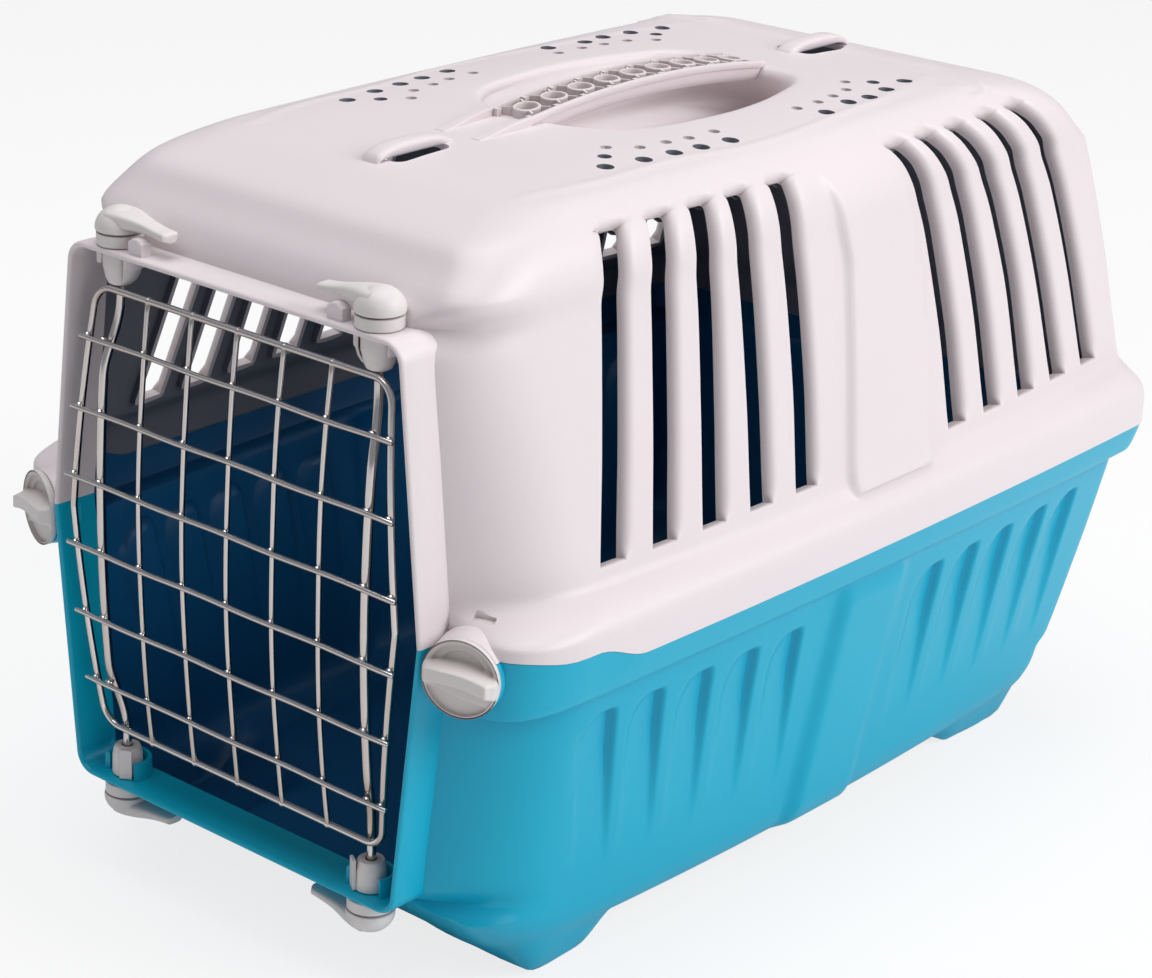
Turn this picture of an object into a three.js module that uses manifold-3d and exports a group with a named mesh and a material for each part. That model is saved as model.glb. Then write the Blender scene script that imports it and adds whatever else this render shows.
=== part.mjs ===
// A moulded pet transport carrier: blue tub, pale lid, wire door, four rod latches and two side locks.
// Millimetres, +Z up. The door looks towards -Y, +X is to the right of someone who faces the door.
// The datum is the middle of the length and width, on the plane that the feet stand on.

import * as THREE from 'three';
import { mergeVertices } from 'three/addons/utils/BufferGeometryUtils.js';
import Module from 'manifold-3d';

const wasm = await Module();
wasm.setup();

// Overall driving sizes
const bodyHeight = 328.7;
const rimHalfWidth = 157.4;
const halfLength = 241;

// Walls and clearances
const lidWall = 2.6;
const baseWall = 2.8;
const gap = 0.3;
const runningGap = 0.5;
const cutOverrun = 6;
const mergeShare = 1e-4;
const splitSteps = 6;
const cornerShares = [0, 0.15, 0.5, 1];

// Split between lid and base: higher across the front, with an S-shaped step down on each side
const splitHeight = 156.4;
const splitRise = 11.3;
const stepStartY = -184;
const stepEndY = -154;

// Door collar at the front
const collarY = -237.2;
const collarDepth = 17;
const lipDepth = 5;
const lipWidth = 3.4;
const collarBottom = 45.3;
const collarTop = 289.6;
const ledgeStep = 0.45;
const collarWaist = 168;
const collarCorner = 9.7;
const collarHalfBottom = 95.5;
const collarHalfWaist = 108.1;
const collarHalfTop = 94.9;

// Plan shape of the shells
const rimBow = 5.1;
const wallBow = 12;
const roofBow = 9;
const bowCentreY = 9;
const pillarHeight = 2.5;
const pillarFrontY = -11;
const pillarRearY = 45;
const pillarRamp = 4;

// Corner styles: how the plan turns from the collar into the side, and the rear corner radius.
// leave and arrive are the handles of the curve that makes the front corner.
const beltCorner = { leave: [29, -8], arrive: [3.5, 34], sideStartY: -190, rearRadius: 22, bow: rimBow };
const wallCorner = { leave: [10, 6], arrive: [2, 30], sideStartY: -172, rearRadius: 17, bow: wallBow };
const roofCorner = { leave: [14, 0], arrive: [0.5, 22], sideInset: 52, rearRadius: 26, bow: roofBow };
const roofNeckInset = 26;

// Profile rows: shares of body height, rim half width, half length (front), half length (rear)
const lidRowShares = [
  { at: [0.4758, 1.0, -0.9129, 1.0], rise: 1, corner: beltCorner },
  { at: [0.5111, 0.9987, -0.9129, 1.0], rise: 0.35, corner: beltCorner, outerOnly: true },
  { at: [0.5339, 0.9835, -0.9129, 0.9938], rise: 0.1, corner: beltCorner, shift: 0.6 },
  { at: [0.5476, 0.9549, -0.9129, 0.9834], rise: 0, corner: beltCorner, shift: 1 },
  { at: [0.5628, 0.9314, -0.9129, 0.9826], rise: 0, corner: wallCorner, shift: 1, pillar: 1 },
  { at: [0.7149, 0.8513, -0.9129, 0.9772], rise: 0, corner: wallCorner, pillar: 1 },
  { at: [0.8518, 0.7802, -0.9129, 0.9585], rise: 0, corner: wallCorner, pillar: 1 },
  { at: [0.8716, 0.77, -0.9129, 0.9535], rise: 0, corner: wallCorner, outerOnly: true, pillar: 1 },
  { at: [0.881, 0.7649, -0.9129, 0.9502], rise: 0, corner: wallCorner, shift: 1, pillar: 1 },
];
const lidRoofRowShares = [
  { at: [0.9112, 0.751, -0.8963, 0.9212] },
  { at: [0.9401, 0.7294, -0.8548, 0.8838], outerOnly: true },
  { at: [0.9659, 0.6887, -0.8112, 0.8299] },
  { at: [0.9811, 0.6474, -0.7386, 0.7635], outerOnly: true },
  { at: [0.9918, 0.5959, -0.6639, 0.6722] },
  { at: [0.996, 0.5337, -0.5643, 0.5809] },
  { at: [1.0, 0.2541, -0.332, 0.3485] },
];
const baseRowShares = [
  { at: [0.4758, 0.9968, -0.9129, 0.9979], rise: 1, corner: beltCorner },
  { at: [0.4214, 0.9568, -0.9129, 0.9876], rise: 1.1, corner: beltCorner, shift: 1 },
  { at: [0.4153, 0.9416, -0.9129, 0.9801], rise: 1.1, corner: wallCorner, shift: 1, pillar: 1 },
  { at: [0.3073, 0.9034, -0.9129, 0.9535], rise: 0, corner: wallCorner, pillar: 1 },
  { at: [0.1673, 0.8577, -0.9129, 0.9004], rise: 0, corner: wallCorner, pillar: 1 },
  { at: [0.1476, 0.8513, -0.9129, 0.8921], rise: 0, corner: wallCorner, outerOnly: true },
  { at: [0.1378, 0.8475, -0.9129, 0.888], rise: 0, corner: wallCorner, shift: 1 },
];
const baseFloorRowShares = [
  { at: [0.0913, 0.8323, -0.8465, 0.8755] },
  { at: [0.0608, 0.8069, -0.8008, 0.8465], outerOnly: true },
  { at: [0.0441, 0.756, -0.7759, 0.8133] },
  { at: [0.0365, 0.6989, -0.7635, 0.7801] },
];

// Lid slots: bottom places and top places along the length, front group and rear group
const slotBottomZ = 191.4;
const slotTopZ = 317;
const slotWidth = 11;
const slotBottomYs = [-165.8, -135.6, -105.4, -75.2, -45.0, 68.6, 98.8, 129.0, 159.2, 189.4];
const slotTopYs = [-134.9, -105.1, -80.2, -56.5, -29.4, 51.5, 75.9, 102.8, 129.2, 153.9];
const slotBendShare = 0.45;
const slotSteps = 3;
const slotInnerX = 97;
const slotFrameDepth = 5.4;
const slotFrameMargin = 9;
const slotCrownShare = 0.35;
const slotCrownShares = [0.25, 0.75];

// Vents on the lid, right-hand side: place and size, mirrored to the left
const ventLarge = 7.6;
const ventMiddle = 6.2;
const ventSmall = 5.2;
const ventDepth = 16;
const ventPlaces = [
  [73.5, -94.8, ventLarge], [76.8, -74.1, ventLarge], [78.4, -56.1, ventLarge],
  [80.1, -40.2, ventLarge], [81.4, -22.0, ventLarge], [63.9, -83.9, ventMiddle],
  [55.6, -73.2, ventSmall], [64.7, -62.0, ventSmall], [66.7, -47.2, ventSmall],
  [68.8, -34.4, ventSmall], [69.4, -17.9, ventSmall],
  [80.7, 47.4, ventLarge], [76.8, 69.3, ventLarge], [77.8, 83.9, ventLarge],
  [74.9, 101.1, ventLarge], [71.1, 120.7, ventLarge], [63.6, 106.6, ventMiddle],
  [69.2, 41.3, ventSmall], [68.6, 57.5, ventSmall], [66.7, 71.4, ventSmall],
  [63.9, 85.2, ventSmall], [55.3, 96.4, ventSmall],
];

// Handle and the well under it
const wellTopHalf = 52;
const wellBottomHalf = 30;
const wellFrontY = -56;
const wellRearY = 97;
const wellFloorFrontY = -22;
const wellFloorRearY = 94;
const wellFloorZ = 303;
const wellCorner = 22;
const wellFloorCorner = 12;
const handleHalfWidth = 12;
const handleFrontY = -100;
const handleFootY = -78;
const handleRearY = 90.5;
const handleThickness = 11;
const handleTopZ = 337.2;
const handleEndDrop = 6;
const handleEndY = 108;
const handleTip = 0.8;
const handleShoulder = 10;
const handleSteps = 10;
const grip = { pocketRadius: 5.4, pitch: 17.75, count: 9, firstY: -59.9, depth: 4 };

// Strap loops moulded on the lid's centre line
const strapLoop = { halfWidth: 9, halfLength: 22, height: 4.4, wall: 3, holeHalf: 15, holeReach: 15 };
const strapFrontY = -134;
const strapRearY = 146;
const strapSink = 3;

// Base flutes
const fluteTopYs = [-154.2, -125.5, -95.4, -65.4, -35.6, 71.6, 102.1, 132.2, 164.4, 194.6];
const fluteBottomYs = [-142.2, -115, -88, -60, -30, 70, 99, 128, 156, 184];
const fluteTopZ = 128;
const fluteBottomZ = 54;
const fluteWidth = 13;
const fluteDepth = 1.4;
const fluteRingShares = [[0, 0.4, 0.5], [0.09, 1, 1], [0.6, 0.9, 0.9], [1, 0.3, 0.1]];

// Feet: foot print on the ground and where the bulge meets the floor of the tub
const footTopZ = 24;
const footFront = { x: [62, 112], y: [-168, -142], topX: [48, 118], topY: [-190, -116] };
const footRear = { x: [62, 110], y: [146, 182], topX: [48, 117], topY: [116, 202] };
const footCorner = 10;
const quarterShares = [0, 0.33, 0.67, 1];

// Wire door
const doorY = -230.3;
const doorBulge = 6.5;
const doorMidZ = 170.5;
const doorHalfHeight = 99.8;
const crosswireRadius = 1.2;
const uprightRadius = 1.2;
const frameRadius = 1.5;
const rodRadius = 1.7;
const crosswireZs = [248.3, 217.0, 185.7, 154.4, 123.1, 91.8];
const crosswireHalfLengths = [89.7, 93.0, 96.1, 95.8, 92.7, 89.7];
const frameTopHalf = 83.6;
const frameWaistHalf = 94.6;
const frameBottomHalf = 82.4;
const frameCorner = 9;
const uprightSpacing = 26.4;
const uprightCount = 5;
const rodX = 74;
const rodSwell = 3.6;
const rodTopZ = 281;
const rodBottomZ = 54.5;
const rodStraight = 17;
const rodRamp = 32;
const rodShares = [0, 0.03, 0.07, 0.1, 0.14, 0.18, 0.25, 0.5, 0.75, 0.82, 0.86, 0.9, 0.93, 0.97, 1];
const uprightShares = [-1, -0.5, 0, 0.5, 1];
const frameSteps = 48;
const bendShare = 0.29;

// Latches: a lever outside the collar and a cup inside it, on one upright axis
const latchY = -226.8;
const cupRadius = 7.5;
const cupBoreRadius = 2.3;
const cupMouth = 4.8;
const cupReach = 13.6;
const cupBlindWall = 4;
const collarThickness = 2.8;
const shaftTop = 6;
const shaftRadius = 4;
const leverRadius = 10.2;
const leverHeight = 13;
const leverReach = 33;
const leverArmWidth = 10;
const leverArmHeight = 5.8;
const leverTipWidth = 6;
const leverTipRise = 1.5;
const stopBlock = { x: 54, y: -231, width: 8.5, depth: 5.5, height: 6.9 };
const cupHousingRadius = 11;
const cupHousingHeight = 12;

// Side locks: turn knobs that look forward and a little outward
const knobX = 124.9;
const knobY = -233.6;
const knobZ = 159.7;
const knobTurn = THREE.MathUtils.degToRad(18);
const knobRadius = 16.5;
const knobThickness = 4.5;
const knobRidgeHeight = 5.6;
const knobRidgeWidth = 9;
const knobRidgeRise = 1.5;
const bossRadius = 17;
const bossDepth = 7;
const stemRadius = 3.4;
const camThickness = 3.6;
const camRadius = 5.4;
const camReach = 14.6;
const camWidth = 4.6;
const hookReach = 18.5;
const hookLip = 2.4;
const hookWall = 2.6;
const hookInner = 10.5;
const hookTopRise = 18;
const bandHeight = 16.5;

// Unit outlines of the turned and extruded grey pieces
const leverProfileShares = [[0, 0], [1, 0], [1, 0.25], [0.9, 0.62], [0.6, 0.9], [0, 1]];
const knobProfileShares = [[0, 1], [0.94, 1], [1, 0.7], [1, 0.25], [0.95, 0], [0, 0]];
const knobRidgeShares = [[-0.97, 0], [0.97, 0], [0.97, 0.75], [0.6, 1.25], [-0.6, 1.25], [-0.97, 0.75]];

// Rear pegs that keep lid and base in line
const pegX = 143;
const pegY = 225;
const pegRadius = 2.6;
const pegTopZ = 176;
const pegHoleRadius = 4;
const pegBlock = 5;

// Materials, one per moulding or wire
const materials = {
  blue: new THREE.MeshStandardMaterial({ color: 0x1fa3cc, roughness: 0.42, metalness: 0 }),
  pale: new THREE.MeshStandardMaterial({ color: 0xe9e2e3, roughness: 0.5, metalness: 0 }),
  grey: new THREE.MeshStandardMaterial({ color: 0xd6d0cd, roughness: 0.5, metalness: 0 }),
  wire: new THREE.MeshStandardMaterial({ color: 0xc9c4c0, roughness: 0.2, metalness: 1 }),
};

// Solids: from three.js geometry to manifold and back

function solidOf(geometry) {
  const bare = geometry.index ? geometry.clone() : geometry;
  for (const name of Object.keys(bare.attributes)) {
    if (name !== 'position') bare.deleteAttribute(name);
  }
  const merged = mergeVertices(bare, mergeShare);
  return new wasm.Manifold(new wasm.Mesh({
    numProp: 3,
    vertProperties: new Float32Array(merged.attributes.position.array),
    triVerts: new Uint32Array(merged.index.array),
  }));
}

function geometryOf(solid) {
  const mesh = solid.getMesh();
  const geometry = new THREE.BufferGeometry();
  const points = new Float32Array(mesh.numVert * 3);
  for (let i = 0; i < mesh.numVert; i += 1) {
    for (let k = 0; k < 3; k += 1) points[i * 3 + k] = mesh.vertProperties[i * mesh.numProp + k];
  }
  geometry.setAttribute('position', new THREE.BufferAttribute(points, 3));
  geometry.setIndex([...mesh.triVerts]);
  geometry.computeVertexNormals();
  return geometry;
}

function placed(geometry, position, rotation = [0, 0, 0]) {
  const matrix = new THREE.Matrix4().makeRotationFromEuler(new THREE.Euler(...rotation));
  matrix.setPosition(...position);
  return geometry.applyMatrix4(matrix);
}

function box(x, y, z) {
  const size = [x[1] - x[0], y[1] - y[0], z[1] - z[0]];
  const middle = [(x[0] + x[1]) / 2, (y[0] + y[1]) / 2, (z[0] + z[1]) / 2];
  return solidOf(placed(new THREE.BoxGeometry(...size), middle));
}

function uprightCylinder(radius, x, y, z, sides = 12) {
  const cylinder = new THREE.CylinderGeometry(radius, radius, z[1] - z[0], sides);
  return solidOf(placed(cylinder, [x, y, (z[0] + z[1]) / 2], [Math.PI / 2, 0, 0]));
}

// An outline in the YZ plane, given as [y, z] points, pushed along X between two places
function slabAcross(outline, x) {
  const shape = new THREE.Shape(outline.map(([y, z]) => new THREE.Vector2(y, z)));
  const slab = new THREE.ExtrudeGeometry(shape, { depth: x[1] - x[0], bevelEnabled: false });
  const turn = new THREE.Matrix4().makeBasis(
    new THREE.Vector3(0, 1, 0), new THREE.Vector3(0, 0, 1), new THREE.Vector3(1, 0, 0),
  );
  turn.setPosition(x[0], 0, 0);
  return solidOf(slab.applyMatrix4(turn));
}

// An outline in the XZ plane, given as [x, z] points, pushed along Y between two places
function slabAlong(outline, y) {
  const shape = new THREE.Shape(outline.map(([x, z]) => new THREE.Vector2(x, z)));
  const slab = new THREE.ExtrudeGeometry(shape, { depth: y[1] - y[0], bevelEnabled: false });
  return solidOf(placed(slab, [0, y[1], 0], [Math.PI / 2, 0, 0]));
}

function mirrored(solid) {
  return solid.mirror([1, 0, 0]);
}

// A closed skin through rings of equal point count, flat caps at both ends
function loft(rings) {
  const count = rings[0].length;
  const points = rings.flat();
  const index = [];
  for (let i = 0; i + 1 < rings.length; i += 1) {
    for (let k = 0; k < count; k += 1) {
      const a = i * count + k;
      const b = i * count + ((k + 1) % count);
      index.push(a, b, b + count, a, b + count, a + count);
    }
  }
  const capOf = (ring) => THREE.ShapeUtils.triangulateShape(ring.map((p) => new THREE.Vector2(p.x, p.y)), []);
  const last = (rings.length - 1) * count;
  for (const [a, b, c] of capOf(rings[0])) index.push(a, c, b);
  for (const [a, b, c] of capOf(rings[rings.length - 1])) index.push(last + a, last + b, last + c);
  const geometry = new THREE.BufferGeometry();
  geometry.setAttribute('position', new THREE.Float32BufferAttribute(points.flatMap((p) => [p.x, p.y, p.z]), 3));
  geometry.setIndex(index);
  return solidOf(geometry);
}

// Plan outline of the shells

function smoothStep(value) {
  const t = Math.min(Math.max(value, 0), 1);
  return t * t * (3 - 2 * t);
}

function splitShare(y) {
  return 1 - smoothStep((y - stepStartY) / (stepEndY - stepStartY));
}

function collarHalfAt(z, inset = 0) {
  const lower = (z - collarBottom) / (collarWaist - collarBottom);
  const upper = (z - collarWaist) / (collarTop - collarWaist);
  const straight = z < collarWaist
    ? collarHalfBottom + (collarHalfWaist - collarHalfBottom) * lower
    : collarHalfWaist + (collarHalfTop - collarHalfWaist) * upper;
  const toEnd = Math.max(Math.min(z - collarBottom, collarTop - z) - inset, 0);
  if (toEnd >= collarCorner) return straight - inset;
  const inFromCorner = collarCorner - toEnd;
  return straight - inset - collarCorner + Math.sqrt(collarCorner ** 2 - inFromCorner ** 2);
}

function sideAt(row, y) {
  const reach = (y - bowCentreY) / halfLength;
  const rampIn = smoothStep((y - pillarFrontY + pillarRamp / 2) / pillarRamp);
  const rampOut = smoothStep((y - pillarRearY + pillarRamp / 2) / pillarRamp);
  return row.half - row.bow * reach ** 2 + row.pillar * (rampIn - rampOut);
}

function bezier(points, t) {
  const weights = [(1 - t) ** 3, 3 * t * (1 - t) ** 2, 3 * t ** 2 * (1 - t), t ** 3];
  return [0, 1].map((k) => points.reduce((sum, point, i) => sum + weights[i] * point[k], 0));
}

const cornerSteps = 5;
const rearSteps = 3;
const endShares = [0.33, 0.67];

// Right-hand half outline from the front to the rear, then its mirror image back to the start
function planRing(row) {
  const half = [[row.neck, row.collarY], [row.neck, row.neckY]];
  const sideEndY = row.rear - row.rearRadius;
  const arrive = [sideAt(row, row.sideStartY), row.sideStartY];
  const handles = [
    half[1],
    [row.neck + row.leave[0], row.neckY + row.leave[1]],
    [arrive[0] - row.arrive[0], arrive[1] - row.arrive[1]],
    arrive,
  ];
  for (let i = 1; i <= cornerSteps; i += 1) half.push(bezier(handles, i / cornerSteps));
  const pillarEdges = [pillarFrontY, pillarRearY].flatMap((y) => [y - pillarRamp / 2, y + pillarRamp / 2]);
  const frontPart = endShares.map((share) => row.sideStartY + (pillarEdges[0] - row.sideStartY) * share);
  const rearPart = [...endShares, 1].map((share) => pillarEdges[3] + (sideEndY - pillarEdges[3]) * share);
  for (const y of [...frontPart, ...pillarEdges, ...rearPart]) half.push([sideAt(row, y), y]);
  const endX = sideAt(row, sideEndY);
  for (let i = 1; i <= rearSteps; i += 1) {
    const angle = (Math.PI / 2) * (i / rearSteps);
    half.push([
      endX - row.rearRadius + row.rearRadius * Math.cos(angle),
      sideEndY + row.rearRadius * Math.sin(angle),
    ]);
  }
  const left = half.map(([x, y]) => [-x, y]).reverse();
  return [...half, ...left].map(([x, y]) => new THREE.Vector3(x, y, row.z + row.rise * splitRise * splitShare(y)));
}

// A row of the table in millimetres, drawn in by inset where it makes the inner skin
function wallRow({ at, rise, corner, shift = 0, pillar = 0 }, inset, lift) {
  const z = at[0] * bodyHeight;
  return {
    z: z + shift * lift,
    rise,
    half: at[1] * rimHalfWidth - inset,
    collarY: inset > 0 ? collarY + lipDepth : collarY,
    neckY: collarY + collarDepth + inset,
    neck: collarHalfAt(z + rise * splitRise) - inset,
    rear: at[3] * halfLength - inset,
    rearRadius: corner.rearRadius - inset,
    sideStartY: corner.sideStartY,
    leave: corner.leave,
    arrive: corner.arrive,
    bow: corner.bow,
    pillar: pillar * pillarHeight,
  };
}

// A row of the roof or the floor, which runs round without a collar
function closedRow({ at, shift = 1 }, inset, lift, bow) {
  const front = at[2] * halfLength + inset;
  const half = at[1] * rimHalfWidth - inset;
  return {
    z: at[0] * bodyHeight + shift * lift,
    rise: 0,
    half,
    collarY: front,
    neckY: front + ledgeStep,
    neck: half - roofNeckInset,
    rear: at[3] * halfLength - inset,
    rearRadius: roofCorner.rearRadius - inset,
    sideStartY: front + roofCorner.sideInset * at[1],
    leave: roofCorner.leave,
    arrive: roofCorner.arrive,
    bow,
    pillar: 0,
  };
}

// The row next to the collar's flat top or bottom, with the same plan but for the collar itself
function ledgeRow(row, step) {
  return { ...row, z: row.z + step, collarY: row.neckY - ledgeStep };
}

// The inner skin goes without the rows that only shape the outside
function rowsFor(rows, inset) {
  return inset > 0 ? rows.filter(({ outerOnly }) => !outerOnly) : rows;
}

function lidSkin(inset) {
  const walls = rowsFor(lidRowShares, inset).map((row) => wallRow(row, inset, -inset));
  if (inset > 0) walls[0].z -= cutOverrun;
  const roof = rowsFor(lidRoofRowShares, inset).map((row) => closedRow(row, inset, -inset, roofBow));
  const ledge = ledgeRow(walls[walls.length - 1], ledgeStep);
  return loft([...walls, ledge, ...roof].map(planRing));
}

function baseSkin(inset) {
  const walls = rowsFor(baseRowShares, inset).map((row) => wallRow(row, inset, inset));
  if (inset > 0) walls[0].z += cutOverrun;
  const floor = rowsFor(baseFloorRowShares, inset).map((row) => closedRow(row, inset, inset, wallBow));
  const ledge = ledgeRow(walls[walls.length - 1], -ledgeStep);
  return loft([...walls, ledge, ...floor].map(planRing).reverse());
}

// Half width of a shell's side at one height, between the rows of its table
function sideHalfAt(rows, z) {
  const levels = rows.map(({ at }) => [at[0] * bodyHeight, at[1] * rimHalfWidth]).sort((a, b) => a[0] - b[0]);
  const above = levels.findIndex(([level]) => level >= z);
  const [low, high] = [levels[Math.max(above - 1, 0)], levels[Math.max(above, 0)]];
  if (high[0] === low[0]) return low[1];
  return low[1] + ((high[1] - low[1]) * (z - low[0])) / (high[0] - low[0]);
}

function roundedRectangle(x, y, radius, z) {
  const centres = [
    [x[1] - radius, y[0] + radius, -1],
    [x[1] - radius, y[1] - radius, 0],
    [x[0] + radius, y[1] - radius, 1],
    [x[0] + radius, y[0] + radius, 2],
  ];
  return centres.flatMap(([cx, cy, quarter]) => quarterShares.map((share) => {
    const angle = (Math.PI / 2) * (quarter + share);
    return new THREE.Vector3(cx + radius * Math.cos(angle), cy + radius * Math.sin(angle), z);
  }));
}

// Door opening through the collar, inside its lip
function doorOpening() {
  const bottom = collarBottom + lipWidth;
  const top = collarTop - lipWidth;
  const rounding = cornerShares.map((share) => share * collarCorner);
  const heights = [
    ...rounding.map((step) => bottom + step),
    collarWaist,
    ...rounding.map((step) => top - step).reverse(),
  ];
  const right = heights.map((z) => [collarHalfAt(z, lipWidth), z]);
  const left = right.map(([x, z]) => [-x, z]).reverse();
  return slabAlong([...right, ...left], [collarY - cutOverrun, collarY + lipDepth + cutOverrun]);
}

// Lid

function slotOutline(k, grow = 0) {
  const front = [];
  for (let i = 0; i <= slotSteps; i += 1) {
    const t = i / slotSteps;
    const bend = slotBendShare * t + (1 - slotBendShare) * t ** 3;
    front.push([slotBottomYs[k] + (slotTopYs[k] - slotBottomYs[k]) * bend, slotBottomZ + (slotTopZ - slotBottomZ) * t]);
  }
  const rear = front.map(([y, z]) => [y + slotWidth + grow, z]).reverse();
  const crownZ = slotTopZ + slotWidth * slotCrownShare;
  const crown = slotCrownShares.map((share) => [slotTopYs[k] + slotWidth * share, crownZ]);
  return [...front.map(([y, z]) => [y - grow, z]), ...crown, ...rear];
}

function slotFrame(first, last, thick) {
  const lead = slotOutline(first, slotFrameMargin);
  const tail = slotOutline(last, slotFrameMargin);
  const frontEdge = lead.slice(0, slotSteps + 1);
  const rearEdge = tail.slice(-slotSteps - 1);
  const low = slotBottomZ - slotFrameMargin / 2;
  const outline = [[frontEdge[0][0], low], ...frontEdge.slice(1), ...rearEdge.slice(0, -1)];
  outline.push([rearEdge[slotSteps][0], low]);
  return slabAcross(outline, [slotInnerX - slotFrameMargin, rimHalfWidth]).intersect(thick);
}

function handleWell(inset) {
  const top = [-wellTopHalf - inset, wellTopHalf + inset];
  const bottom = [-wellBottomHalf - inset, wellBottomHalf + inset];
  const topY = [wellFrontY - inset, wellRearY + inset];
  const bottomY = [wellFloorFrontY - inset, wellFloorRearY + inset];
  const topZ = inset > 0 ? bodyHeight - lidWall : bodyHeight;
  const rings = [
    roundedRectangle(bottom, bottomY, wellFloorCorner + inset, wellFloorZ - inset),
    roundedRectangle(top, topY, wellCorner + inset, topZ),
  ];
  if (inset === 0) rings.push(roundedRectangle(top, topY, wellCorner, topZ + cutOverrun));
  return loft(rings);
}

function strapBridge(y) {
  const { halfWidth, halfLength: reach, height } = strapLoop;
  const outline = [
    [y - reach, bodyHeight - strapSink], [y + reach, bodyHeight - strapSink],
    [y + reach - height, bodyHeight + height], [y - reach + height, bodyHeight + height],
  ];
  return slabAcross(outline, [-halfWidth, halfWidth]);
}

function strapTunnel(y) {
  const { holeHalf, holeReach, height, wall } = strapLoop;
  const z = [bodyHeight - 2 * cutOverrun, bodyHeight + height - wall];
  return box([-holeHalf, holeHalf], [y - holeReach, y + holeReach], z);
}

function knobPlace(solid) {
  const turned = new THREE.Matrix4().makeBasis(
    new THREE.Vector3(Math.cos(knobTurn), Math.sin(knobTurn), 0),
    new THREE.Vector3(0, 0, 1),
    new THREE.Vector3(Math.sin(knobTurn), -Math.cos(knobTurn), 0),
  );
  turned.setPosition(knobX, knobY, knobZ);
  return solidOf(geometryOf(solid).applyMatrix4(turned));
}

// A round bar along the knob's axis, between two depths behind the knob's face
function knobCylinder(radius, depths, sides = 24) {
  const bar = new THREE.CylinderGeometry(radius, radius, depths[1] - depths[0], sides);
  return solidOf(placed(bar, [0, 0, -(depths[0] + depths[1]) / 2], [Math.PI / 2, 0, 0]));
}

const seatDepth = knobThickness + runningGap;
const camFront = seatDepth + bossDepth + runningGap;
const camBack = camFront + camThickness;

function knobBoss() {
  return knobPlace(knobCylinder(bossRadius, [seatDepth, seatDepth + bossDepth]));
}

function knobPocket() {
  return knobPlace(knobCylinder(knobRadius + runningGap, [-2 * cutOverrun, seatDepth]));
}

function lidHook() {
  const depth = [-camBack, -camFront];
  const lipTop = -camWidth / 2 - gap;
  const plate = box([hookReach - hookWall, hookReach], [lipTop - hookLip, hookTopRise], depth);
  const lip = box([hookInner, hookReach], [lipTop - hookLip, lipTop], depth);
  const root = box([hookInner, hookReach], [hookTopRise - hookLip, hookTopRise], [-camBack, -seatDepth - hookLip]);
  return knobPlace(plate.add(lip).add(root));
}

// Room behind the boss for the cam's hub and for its tab, which swings from upright to outboard
function camRoom() {
  const depths = [camFront - runningGap, camBack + runningGap];
  const hub = knobCylinder(camRadius + runningGap, depths, 12);
  const reach = camReach + 2 * runningGap;
  const side = camWidth / 2 + gap;
  const quarter = box([-side, reach], [-side, reach], [-depths[1], -depths[0]]);
  return knobPlace(hub.add(knobCylinder(reach, depths, 16).intersect(quarter)));
}

function splitBand(lift) {
  const outline = [];
  for (let i = 0; i <= splitSteps; i += 1) {
    const y = stepStartY + ((stepEndY - stepStartY) * i) / splitSteps;
    outline.push([y, splitHeight + splitRise * splitShare(y) + lift]);
  }
  return [[-2 * halfLength, outline[0][1]], ...outline, [2 * halfLength, outline[splitSteps][1]]];
}

function aboveSplit(solid) {
  const line = splitBand(gap);
  const outline = [...line, [2 * halfLength, 2 * bodyHeight], [-2 * halfLength, 2 * bodyHeight]];
  return solid.intersect(slabAcross(outline, [-2 * rimHalfWidth, 2 * rimHalfWidth]));
}

function belowSplit(solid) {
  const line = splitBand(0).reverse();
  const outline = [[-2 * halfLength, -bodyHeight], [2 * halfLength, -bodyHeight], ...line];
  return solid.intersect(slabAcross(outline, [-2 * rimHalfWidth, 2 * rimHalfWidth]));
}

function both(solid) {
  return solid.add(mirrored(solid));
}

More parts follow.
